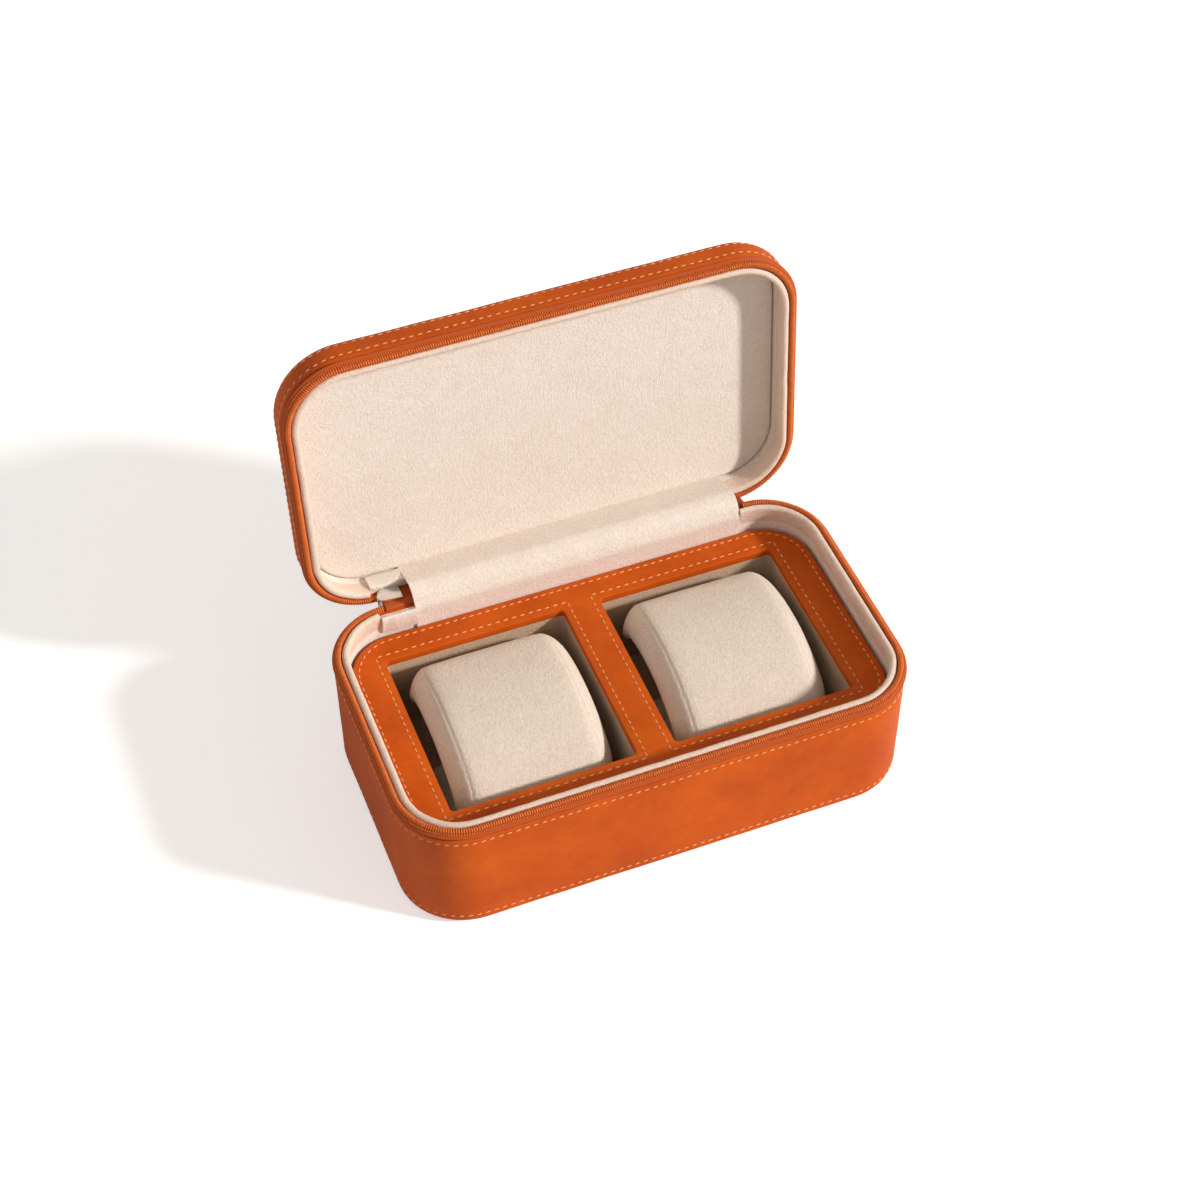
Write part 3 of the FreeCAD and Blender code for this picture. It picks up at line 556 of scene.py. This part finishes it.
# %% Geometry Nodes: a piece repeated along a path
def repeat_tree():
    """The node tree that sets copies of a piece along a path."""
    tree = bpy.data.node_groups.new("repeat_along_path", "GeometryNodeTree")
    inputs = {
        "Geometry": "NodeSocketGeometry",
        "Piece": "NodeSocketObject",
        "Pitch": "NodeSocketFloat",
        "Size": "NodeSocketVector",
        "Slant": "NodeSocketFloat",
        "Material": "NodeSocketMaterial",
    }
    for name, kind in inputs.items():
        tree.interface.new_socket(name, in_out="INPUT", socket_type=kind)
    tree.interface.new_socket("Geometry", in_out="OUTPUT", socket_type="NodeSocketGeometry")
    given = add_node(tree, "NodeGroupInput").outputs
    curve = add_node(tree, "GeometryNodeMeshToCurve", {"Mesh": given["Geometry"]})
    spaced = add_node(
        tree,
        "GeometryNodeResampleCurve",
        {"Curve": curve.outputs["Curve"], "Length": given["Pitch"]},
        mode="LENGTH",
    )
    ahead = add_node(tree, "GeometryNodeInputTangent").outputs["Tangent"]
    named = add_node(tree, "GeometryNodeInputNamedAttribute", {"Name": "out"}, data_type="FLOAT_VECTOR")
    out = named.outputs["Attribute"]
    beside = add_node(tree, "ShaderNodeVectorMath", {0: out, 1: ahead}, operation="CROSS_PRODUCT")
    slanted = add_node(
        tree,
        "ShaderNodeVectorMath",
        {0: beside.outputs["Vector"], "Scale": given["Slant"]},
        operation="SCALE",
    )
    heading = add_node(
        tree, "ShaderNodeVectorMath", {0: ahead, 1: slanted.outputs["Vector"]}, operation="ADD"
    )
    turn = add_node(
        tree,
        "FunctionNodeAxesToRotation",
        {"Primary Axis": out, "Secondary Axis": heading.outputs["Vector"]},
        primary_axis="Z",
        secondary_axis="X",
    )
    piece = add_node(tree, "GeometryNodeObjectInfo", {"Object": given["Piece"]}, transform_space="ORIGINAL")
    copies = add_node(
        tree,
        "GeometryNodeInstanceOnPoints",
        {
            "Points": spaced.outputs["Curve"],
            "Instance": piece.outputs["Geometry"],
            "Rotation": turn.outputs["Rotation"],
            "Scale": given["Size"],
        },
    )
    real = add_node(tree, "GeometryNodeRealizeInstances", {"Geometry": copies.outputs["Instances"]})
    finished = add_node(
        tree, "GeometryNodeSetMaterial", {"Geometry": real.outputs["Geometry"], "Material": given["Material"]}
    )
    add_node(tree, "NodeGroupOutput", {"Geometry": finished.outputs["Geometry"]})
    return tree


REPEAT = repeat_tree()


def repeated(name, rows, piece, pitch, size, slant, material):
    """A plain mesh of copies of a piece along rows of (points, outs, closed), in millimetres."""
    mesh = bpy.data.meshes.new(name + "_path")
    points, outs, edges = [], [], []
    for row, directions, closed in rows:
        first = len(points)
        points += [Vector(point) * MM for point in row]
        outs += [tuple(direction) for direction in directions]
        edges += [(first + k, first + k + 1) for k in range(len(row) - 1)]
        if closed:
            edges.append((first + len(row) - 1, first))
    mesh.from_pydata(points, edges, [])
    faces_out = mesh.attributes.new("out", "FLOAT_VECTOR", "POINT")
    faces_out.data.foreach_set("vector", [c for out in outs for c in out])
    carrier = bpy.data.objects.new(name + "_path", mesh)
    bpy.context.scene.collection.objects.link(carrier)
    modifier = carrier.modifiers.new("repeat", "NODES")
    modifier.node_group = REPEAT
    values = {"Piece": piece, "Pitch": pitch * MM, "Size": size, "Slant": slant, "Material": material}
    for socket in REPEAT.interface.items_tree:
        if socket.in_out == "INPUT" and socket.name in values:
            modifier[socket.identifier] = values[socket.name]
    depsgraph = bpy.context.evaluated_depsgraph_get()
    result = bpy.data.meshes.new_from_object(carrier.evaluated_get(depsgraph), depsgraph=depsgraph)
    carrier.modifiers.remove(modifier)
    bpy.data.objects.remove(carrier)
    result.name = name
    result.polygons.foreach_set("use_smooth", [True] * len(result.polygons))
    return result


# %% [markdown]
# A hoop of the coil rises on one side of the cord, passes over it and goes down on the other. A
# stitch is a grain of thread, shaped like rice and half sunk in the leather. Both have few faces,
# because there are hundreds of each.

# %% The hoop and the stitch
WIRE, WIRE_SIDES, HOOP_NARROW = 0.34, 6, 0.8


def hoop_mesh():
    """One hoop of nylon wire across the cord, six-sided, in metres."""
    line = ((-0.82, 0.0), (-1.0, 0.8), (-0.72, 1.5), (0.0, 1.72), (0.72, 1.5), (1.0, 0.8), (0.82, 0.0))
    rings = []
    for index, (across, up) in enumerate(line):
        before, after = line[max(index - 1, 0)], line[min(index + 1, len(line) - 1)]
        ahead = Vector((0.0, after[0] - before[0], after[1] - before[1])).normalized()
        side = Vector((1.0, 0.0, 0.0))
        normal = ahead.cross(side)
        centre = Vector((0.0, across * HOOP_NARROW, up))
        turns = [2 * math.pi * k / WIRE_SIDES for k in range(WIRE_SIDES)]
        rings.append([centre + (side * math.cos(t) + normal * math.sin(t)) * WIRE for t in turns])
    return to_mesh("coil_hoop", skin(rings, False, [0.0] * len(rings), [0.0] * (WIRE_SIDES + 1)), 180.0)


def grain_mesh():
    """A unit grain: one long, one wide, one high."""
    shape = bmesh.new()
    bmesh.ops.create_uvsphere(shape, u_segments=8, v_segments=6, radius=0.5)
    bmesh.ops.rotate(shape, verts=shape.verts, matrix=Matrix.Rotation(math.pi / 2, 3, "Y"))
    return to_mesh("thread_grain", shape, 180.0)


def template(name, mesh):
    """An object for Geometry Nodes to copy, which is removed before the end."""
    item = bpy.data.objects.new(name, mesh)
    bpy.context.scene.collection.objects.link(item)
    return item


hoop = template("coil_hoop", hoop_mesh())
grain = template("thread_grain", grain_mesh())
print("hoop faces", len(hoop.data.polygons), "grain faces", len(grain.data.polygons))

# %% Coil and sewing
UP = Vector((0.0, 0.0, 1.0))


def outline_row(stations, inset, end_inset, level, place, upright=False, closed=True):
    """A row that follows the outline, with the directions that face out of the surface."""
    points, outs = [], []
    turn = place.to_3x3()
    for station in stations:
        x, y = ring_point(station, inset, end_inset)
        points.append(place @ Vector((x, y, level)))
        level_out = Vector((math.cos(station[2]), math.sin(station[2]), 0.0))
        outs.append(turn @ (UP if upright else level_out))
    return points, outs, closed


for side, deck, place in (("base", BASE_DECK, ON_BASE), ("lid", LID_DECK, ON_LID)):
    row = outline_row(ZIP_RUN, COIL_LINE, 0.0, deck + COIL_RISE, place, upright=True, closed=False)
    teeth = repeated(side + "_teeth", [row], hoop, TOOTH_PITCH, (1.0, 1.0, 1.0), 0.12, coil_nylon)
    put(side + "_teeth", teeth, coil_nylon, "zip_coil", side, side + "_zip_coil")
    row = outline_row(ZIP_RUN, SEWING_LINE, 0.0, deck + SEWING_RISE, place, closed=False)
    sewing = repeated(side + "_zip_sewing", [row], grain, TOOTH_PITCH, SEWING_SIZE, 0.0, coil_nylon)
    put(side + "_zip_sewing", sewing, coil_nylon, "zip_coil", side)

# %% [markdown]
# ## The insert frame
# A board frame wrapped in thinner leather fills the base, with a window over each cuff. Its edges
# are folded, not cut, so they are round. The piece in the frame has the right shape, so its copy's
# flat faces are joined and its edges are bevelled round, and only its two ends move out to meet the
# suede there. The slider and its puller, which are cast and polished, are rounded the same way.

# %% Rounded copies of frame pieces
FRAME_REACH, WINDOW_FOLD = 1.5, 3.0


def reach_ends(shape):
    """Moves the insert's two ends out to meet the suede there, and leaves its windows."""
    for vert in shape.verts:
        x, y = vert.co.x / MM, vert.co.y / MM
        beside = abs(x) > WINDOW_X + WINDOW_HALF_X + WINDOW_FOLD
        before_or_behind = abs(y - WINDOW_Y) > WINDOW_HALF_Y + WINDOW_FOLD
        if (beside or before_or_behind) and abs(x) > WINDOW_X:
            vert.co.x += math.copysign(FRAME_REACH * MM, x)


def rounded_copy(node, width, change=None):
    """A frame piece with its sharp edges rounded over a width in millimetres."""
    shape = bmesh.new()
    shape.from_mesh(nodes[node].data)
    if change:
        change(shape)
    bmesh.ops.remove_doubles(shape, verts=shape.verts, dist=0.002 * MM)
    bmesh.ops.dissolve_limit(shape, angle_limit=math.radians(1.0), verts=shape.verts, edges=shape.edges)
    bmesh.ops.recalc_face_normals(shape, faces=shape.faces)
    bends = [edge for edge in shape.edges if edge.is_manifold]
    sharp = [edge for edge in bends if edge.calc_face_angle() > math.radians(35.0)]
    bmesh.ops.bevel(
        shape, geom=sharp, offset=width * MM, segments=3, profile=0.5, affect="EDGES", clamp_overlap=True
    )
    return to_mesh(node + "_rounded", shape, 50.0)


insert = rounded_copy("insert_frame_leather", 0.35, reach_ends)
put("frame_leather", insert, frame_leather, "orange_leather", "base", "insert_frame_leather")
put("slider", rounded_copy("zip_slider", 0.25), nickel, "silver_metal", "slider", "zip_slider")
put("puller", rounded_copy("zip_puller", 0.2), nickel, "silver_metal", "puller", "zip_puller")

# %% [markdown]
# ## Stitches
# The same thread runs round the walls, the insert and both windows, with a stitch about every
# 3 mm. Each stitch is a grain 1.8 mm long, set at a slight slant, as a saddle stitch lies.

# %% Stitch rows
STITCH_PITCH = 2.95
STITCH_SIZE = (1.8 * MM, 0.5 * MM, 0.45 * MM)
STITCH_SINK, FRAME_SEAM, WINDOW_SEAM = 0.14, 2.4, (2.5, 2.7)


def straight_row(start, end, out, steps=8):
    """A straight row that stops half a stitch short of both ends."""
    a, b = Vector(start), Vector(end)
    ahead = (b - a).normalized() * (STITCH_PITCH / 2)
    a, b = a + ahead, b - ahead
    return [a.lerp(b, k / steps) for k in range(steps + 1)], [Vector(out)] * (steps + 1), False


def window_rows(centre):
    """Four rows round a window, which meet in sharp corners."""
    margin_x, margin_y = WINDOW_SEAM
    left, right = centre - WINDOW_HALF_X - margin_x, centre + WINDOW_HALF_X + margin_x
    front, back = WINDOW_Y - WINDOW_HALF_Y - margin_y, WINDOW_Y + WINDOW_HALF_Y + margin_y
    corners = [(x, y, FRAME_LEVEL) for x, y in ((left, front), (right, front), (right, back), (left, back))]
    return [straight_row(corners[k], corners[(k + 1) % 4], UP) for k in range(4)]


base_rows = [
    outline_row(ALL_ROUND, STITCH_SINK, 0.0, base_low_row, ON_BASE),
    outline_row(ALL_ROUND, STITCH_SINK, 0.0, base_high_row, ON_BASE),
    outline_row(ALL_ROUND, FRAME_SIDE + FRAME_SEAM, END_PAD, FRAME_LEVEL, ON_BASE, upright=True),
]
base_rows += window_rows(-WINDOW_X) + window_rows(WINDOW_X)
lid_rows = [
    outline_row(ALL_ROUND, STITCH_SINK, 0.0, lid_low_row, ON_LID),
    outline_row(ALL_ROUND, STITCH_SINK, 0.0, lid_high_row, ON_LID),
]
# The leather strip outside the fold is sewn along its two long edges.
SPINE_FACE, SPINE_REACH, BACK = HALF_WIDTH + LEATHER, 44.5, Vector((0.0, 1.0, 0.0))
BASE_SPINE_SEAM, LID_SPINE_SEAM = 36.8, 60.1
for rows, place, level in ((base_rows, ON_BASE, BASE_SPINE_SEAM), (lid_rows, OPENED, LID_SPINE_SEAM)):
    ends = [place @ Vector((x, SPINE_FACE, level)) for x in (-SPINE_REACH, SPINE_REACH)]
    rows.append(straight_row(*ends, place.to_3x3() @ BACK))
for side, rows in (("base", base_rows), ("lid", lid_rows)):
    stitches = repeated(side + "_stitches", rows, grain, STITCH_PITCH, STITCH_SIZE, 0.1, thread)
    put(side + "_stitches", stitches, thread, "orange_leather", side)

# %% [markdown]
# ## The lid's panel
# A card covered with foam and suede is glued on the lid's floor. Foam rounds its edge and crowns
# it a little, so it is built as rings that climb from the edge and close on the middle line.

# %% Lid panel
PANEL_LOW, PANEL_INSIDE = 4.1, 4.6


def panel_rings():
    """Rings of the panel from its foot, over its round edge, to the middle line."""
    steps = [(0.0, 0.0), (0.0, 0.9), (0.15, 1.35), (0.5, 1.75), (1.1, 2.0), (2.0, 2.12), (3.5, 2.17)]
    steps += [(inset, 2.2) for inset in (6.0, 10.0, 15.0, 21.0, 28.0, 36.0, 44.0)]
    rings = []
    for inset, rise in steps:
        ring = []
        for station in ALL_ROUND:
            x, y = ring_point(station, PANEL_INSIDE + inset, END_PAD)
            sag = 0.08 * noise.noise(Vector((x, y, 0.0)) / 16.0) if inset > 2.0 else 0.0
            ring.append(ON_LID @ Vector((x, y, PANEL_LOW + rise - abs(sag))))
        rings.append(ring)
    return rings


rings = panel_rings()
panel = skin(rings, False, [0.0] * len(rings), [0.0] * (len(ALL_ROUND) + 1))
pad_mesh = to_mesh("lid_padded_panel", panel, 60.0)
lid_pad = put("lid_padded_panel", pad_mesh, suede, "cream_suede", "lid", "lid_panel")

# %% [markdown]
# ## The cuffs
# Each cuff is a padded C of suede that a watch is strapped round: a wide band that goes up the
# back, over the top, down the front and under. A side strip is seamed along each edge. It follows
# the same line of four arcs as its solid, with round edges, sunk seams and a soft belly.

# %% Cuff shape
CUFF_HALF, CUFF_THICK = 27.7, 5.6
CUFF_HALF_DEPTH, CUFF_HALF_HEIGHT, CUFF_END_RADIUS = 26.9, 15.0, 11.5
CUFF_LEVEL, CUFF_TILT = 25.3, math.radians(8.0)
CUFF_SEAM, CUFF_NOSE, CUFF_NARROWING, CUFF_SOFTNESS = 22.3, 0.64, 0.12, 0.22


def cuff_line(step=1.6):
    """Points (y, z) and outward directions along the middle of the band, from the leg to the foot."""
    d, h, r = CUFF_HALF_DEPTH, CUFF_HALF_HEIGHT, CUFF_END_RADIUS
    big = (d * d + h * h - 2 * d * r) / (2 * (h - r))
    join = math.degrees(math.atan2(big - h, d - r))
    arcs = (
        ((d - r, 0.0), r, 12.0, join), ((0.0, h - big), big, join, 180 - join),
        ((r - d, 0.0), r, 180 - join, 180 + join), ((0.0, big - h), big, 180 + join, 270.0),
    )
    line = []
    for (cy, cz), radius, start, end in arcs:
        count = max(3, round(math.radians(end - start) * radius / step))
        for k in range(count + 1):
            if k == 0 and line:
                continue
            angle = math.radians(start + (end - start) * k / count)
            out = Vector((0.0, math.cos(angle), math.sin(angle)))
            line.append((Vector((0.0, cy, cz)) + out * radius, out))
    return line


def cuff_section():
    """Closed section (x, thickness share) of the band: outer face with two seams, inner face."""
    top = [(0.0, 1.0), (8.0, 1.0), (14.0, 0.99), (19.0, 0.97), (21.2, 0.93), (22.0, 0.87), (CUFF_SEAM, 0.8)]
    flank = [(22.6, 0.8), (23.4, 0.71), (24.6, 0.5), (25.8, 0.23), (26.8, -0.06), (27.4, -0.3)]
    inner = [(CUFF_HALF, -0.5), (27.5, -0.72), (26.8, -0.89), (25.4, -0.98), (22.0, -1.0), (12.0, -1.0)]
    half = top + flank + inner
    mirror = [(-x, t) for x, t in reversed(half)]
    return half + [(0.0, -1.0)] + mirror[:-1]


def cuff_mesh(name, side):
    """One cuff: the section carried along the line, with a rounded nose at each end."""
    line = cuff_line()
    section = cuff_section()
    place = Matrix.Translation((side * WINDOW_X, WINDOW_Y, CUFF_LEVEL)) @ Matrix.Rotation(CUFF_TILT, 4, "X")
    nose = CUFF_THICK * CUFF_NOSE
    ends = [(math.cos(math.radians(a)), math.sin(math.radians(a)) * nose) for a in (78, 60, 40, 20)]
    stations = []
    ahead = (line[1][0] - line[0][0]).normalized()
    for share, reach in ends:
        stations.append((line[0][0] - ahead * reach, line[0][1], share))
    stations += [(point, out, 1.0) for point, out in line]
    ahead = (line[-1][0] - line[-2][0]).normalized()
    for share, reach in reversed(ends):
        stations.append((line[-1][0] + ahead * reach, line[-1][1], share))
    rings = []
    for point, out, share in stations:
        ring = []
        for x, t in section:
            narrow = 1.0 - (1.0 - share) * CUFF_NARROWING
            here = point + Vector((x * narrow, 0.0, 0.0)) + out * (t * CUFF_THICK * share)
            soft = CUFF_SOFTNESS * noise.noise(here / 9.0 + Vector((side * 5.0, 0.0, 0.0)))
            here -= out * (t * abs(soft) if share == 1.0 else 0.0)
            ring.append(place @ here)
        rings.append(ring)
    along = running_length([tuple(point) for point, _, _ in stations])
    across = running_length([(x, t * CUFF_THICK, 0.0) for x, t in section + section[:1]])
    return to_mesh(name, skin(rings, False, along, across), 70.0)


for name, side in (("left", -1), ("right", 1)):
    shape = cuff_mesh(name + "_padded_cuff", side)
    cuff = put(name + "_padded_cuff", shape, cuff_suede, "cream_suede", name + "_cuff", name + "_pillow")

# %% [markdown]
# ## The hinge
# Three strips cross the fold: a suede flap inside, the closed stretch of zip, and a leather spine
# outside. Each is a ribbon along a line bent across the fold, and stays in the open pose.

# %% Ribbons across the fold
def bent_line(corners, bend, step=0.8):
    """Points along a line through corners in Y-Z, rounded at each corner."""
    points = [Vector((0.0, *corner)) for corner in corners]
    line = [points[0]]
    for before, corner, after in zip(points, points[1:], points[2:]):
        back, ahead = (before - corner).normalized(), (after - corner).normalized()
        reach = bend / math.tan(back.angle(ahead) / 2)
        first, last = corner + back * reach, corner + ahead * reach
        line.append(first)
        for k in range(1, 9):
            t = k / 9
            line.append(first.lerp(corner, t).lerp(corner.lerp(last, t), t))
        line.append(last)
    line.append(points[-1])
    fine = [line[0]]
    for before, after in zip(line, line[1:]):
        count = max(1, round((after - before).length / step))
        fine += [before.lerp(after, k / count) for k in range(1, count + 1)]
    return fine


def ribbon(line, thickness, left, right, columns, relief=None):
    """A closed strip of even thickness along a line, from left to right, and its length."""
    distance = [d / MM for d in running_length([tuple(p) for p in line])]
    normals = []
    for index in range(len(line)):
        ahead = (line[min(index + 1, len(line) - 1)] - line[max(index - 1, 0)]).normalized()
        normals.append(Vector((0.0, -ahead.z, ahead.y)))
    rings = []
    for column in range(columns + 1):
        share = column / columns
        sides = ([], [])
        x = left + (right - left) * share
        for point, normal, s in zip(line, normals, distance):
            lift = relief(x, s) if relief else 0.0
            for half, side in zip((0.5, -0.5), sides):
                side.append(Vector((x, point.y, point.z)) + normal * (lift + half * thickness))
        rings.append(sides[0] + sides[1][::-1])
    along = [k / columns * 0.12 for k in range(columns + 1)]
    length = running_length([tuple(p) for p in line])
    across = length + length[::-1] + [0.0]
    return skin(rings, False, along, across), distance[-1]


# %% [markdown]
# The flap is glued behind the insert and under the lid's panel, and arches over the fold between.
# The zip behind it lies flat in the fold, and the spine hugs the two trays outside.

# %% Suede flap
FLAP_Y, FLAP_ARCH = 46.8, 52.8
flap_arch = [(FLAP_Y, 47.6), (49.2, FLAP_ARCH - 0.5), (53.4, FLAP_ARCH + 0.5)]
flap_line = bent_line([(FLAP_Y, 34.0), *flap_arch, opened(FLAP_Y, 60.5), opened(FLAP_Y, 62.6)], 5.0)


def flap_wrinkle(x, s):
    """Slight wrinkles that fade out towards the glued ends."""
    free = max(0.0, math.sin(math.pi * min(max((s - 8.0) / 26.0, 0.0), 1.0)))
    return free * 0.25 * (1.0 + noise.noise(Vector((x / 7.0, s / 14.0, 0.0))))


flap_shape, flap_length = ribbon(flap_line, 0.8, -56.0, 64.5, 90, flap_wrinkle)
flap = put("suede_flap", to_mesh("suede_flap", flap_shape, 60.0), suede, "cream_suede", None, "hinge_flap")
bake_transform(flap)
print("flap", round(flap_length, 1), "mm from end to end")

# %% Folded zip
CHAIN_Y, LID_EDGE = HALF_WIDTH - COIL_LINE, CLOSED_HEIGHT - LID_DECK
chain_corners = [(CHAIN_Y, BASE_DECK), (CHAIN_Y, BASE_DECK + 1.2)]
chain_corners += [opened(CHAIN_Y, LID_EDGE - 1.2), opened(CHAIN_Y, LID_EDGE)]
chain_line = bent_line(chain_corners, 0.7, 0.5)
chain_shape, _ = ribbon(chain_line, 0.8, -65.5, 68.4, 60)
half_way = (chain_line[0].y + chain_line[-1].y) / 2
middle = [point for point in chain_line if abs(point.y - half_way) < 0.6][0] + UP * 0.25
row = straight_row((-60.5, middle.y, middle.z), (66.0, middle.y, middle.z), (0.0, 0.2, 1.0))
teeth = repeated("folded_teeth", [row], hoop, TOOTH_PITCH, (1.0, 1.2, 0.2), 0.0, coil_nylon)
chain_shape.from_mesh(teeth)
chain_mesh = to_mesh("folded_zip", chain_shape, 60.0)
chain = put("folded_zip", chain_mesh, tape_cloth, "zip_tape", None, "hinge_zip")
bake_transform(chain)

# %% Leather spine
SPINE_Y = HALF_WIDTH + LEATHER / 2
fold_y, fold_z = opened(SPINE_Y, LID_EDGE)
spine_corners = [(SPINE_Y, BASE_DECK - 12.0), (SPINE_Y, fold_z), (fold_y, fold_z)]
spine_line = bent_line([*spine_corners, opened(SPINE_Y, LID_EDGE + 8.0)], 2.0)
spine_shape, _ = ribbon(spine_line, LEATHER, -46.0, 46.0, 46)
spine_mesh = to_mesh("leather_spine", spine_shape, 60.0)
spine = put("leather_spine", spine_mesh, leather, "orange_leather", None, "hinge_spine")
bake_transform(spine)

# %% [markdown]
# ## Pieces that keep their own shape
# The boards, the bottom and top panels and the wells are right as the frame has them. They only
# need their finish.

# %% Finishes of the frame's own pieces
kept = {
    leather: ("base_leather_bottom", "lid_leather_top"),
    # The wells get the suede that is darkened as painted shade.
    well_suede_painted_shade: ("left_well", "right_well"),
    board: ("base_shell", "lid_shell", "insert_frame_board", "lid_panel_board"),
}
for material, names in kept.items():
    for name in names:
        nodes[name].data.materials.clear()
        nodes[name].data.materials.append(material)
for spare in (hoop, grain):
    bpy.data.objects.remove(spare)
print("kept", sum(len(names) for names in kept.values()), "frame pieces")

# %% [markdown]
# ## Floor, light and camera
# The floor and the world are pale and show white to the camera, while the floor keeps the case's
# shadow. One lamp from the right and front gives the slanting shadow inside the lid, and the sky
# and a weak second lamp fill in softly.

# %% Floor
def studio_floor():
    """A matt white floor that glows a little for the camera."""
    shape = bmesh.new()
    bmesh.ops.create_grid(shape, x_segments=2, y_segments=2, size=3.0)
    item = bpy.data.objects.new("studio_floor", to_mesh("studio_floor", shape))
    bpy.context.scene.collection.objects.link(item)
    material, tree, shader = new_material("matt_white_paper")
    place = add_node(tree, "ShaderNodeTexCoord").outputs["Object"]
    tooth = add_node(tree, "ShaderNodeTexNoise", {"Vector": place, "Scale": per_mm(6)})
    tone = add_node(
        tree, "ShaderNodeMapRange", {"Value": tooth.outputs["Fac"], "To Min": 0.8, "To Max": 0.82}
    )
    tree.links.new(tone.outputs[0], shader.inputs["Base Color"])
    shader.inputs["Roughness"].default_value = 0.9
    seen = add_node(tree, "ShaderNodeLightPath").outputs["Is Camera Ray"]
    glow = add_node(tree, "ShaderNodeMath", {0: seen, 1: 0.5}, operation="MULTIPLY")
    light = add_node(tree, "ShaderNodeEmission", {"Strength": glow.outputs[0]})
    both = add_node(tree, "ShaderNodeAddShader", {0: shader.outputs["BSDF"], 1: light.outputs["Emission"]})
    tree.links.new(both.outputs["Shader"], tree.nodes["Material Output"].inputs["Surface"])
    item.data.materials.append(material)


studio_floor()

# %% Light and camera
scene = bpy.context.scene
world = bpy.data.worlds.new("studio_sky")
world.use_nodes = True
scene.world = world
sky = world.node_tree
paths = add_node(sky, "ShaderNodeLightPath").outputs
direct = add_node(
    sky,
    "ShaderNodeMath",
    {0: paths["Is Glossy Ray"], 1: 0.8, 2: paths["Is Camera Ray"]},
    operation="MULTIPLY_ADD",
)
strength = add_node(sky, "ShaderNodeMapRange", {"Value": direct.outputs[0], "To Min": 0.36, "To Max": 1.0})
tint = add_node(sky, "ShaderNodeValToRGB", {"Fac": direct.outputs[0]})
tint.color_ramp.elements[0].color = (1.0, 0.91, 0.81, 1.0)
tint.color_ramp.elements[1].color = (1.0, 1.0, 1.0, 1.0)
backdrop = sky.nodes["Background"]
sky.links.new(tint.outputs["Color"], backdrop.inputs["Color"])
sky.links.new(strength.outputs[0], backdrop.inputs["Strength"])


def lamp(name, toward, energy, softness, colour):
    """A far lamp that shines from a direction."""
    data = bpy.data.lights.new(name, "SUN")
    data.energy, data.angle, data.color = energy, math.radians(softness), colour
    item = bpy.data.objects.new(name, data)
    item.rotation_mode = "QUATERNION"
    item.rotation_quaternion = (-Vector(toward)).to_track_quat("-Z", "Y")
    scene.collection.objects.link(item)


lamp("key_lamp", (0.72, -0.50, 0.47), 3.4, 6.0, (1.0, 0.975, 0.94))
lamp("fill_lamp", (-0.6, -0.5, 0.9), 0.25, 40.0, (1.0, 0.98, 0.96))

EYE, TARGET = Vector((-0.1970, -0.4889, 0.6603)), Vector((0.00306, 0.02501, 0.05051))
camera = bpy.data.objects.new("camera", bpy.data.cameras.new("camera"))
camera.data.lens, camera.data.sensor_width = 72.405, 36.0
camera.data.clip_start, camera.data.clip_end = 0.01, 20.0
camera.location = EYE
camera.rotation_mode = "QUATERNION"
aim = (TARGET - EYE).to_track_quat("-Z", "Y").to_matrix() @ Matrix.Rotation(math.radians(-0.268), 3, "Z")
camera.rotation_quaternion = aim.to_quaternion()
scene.collection.objects.link(camera)
scene.camera = camera
scene.view_settings.view_transform = "Standard"
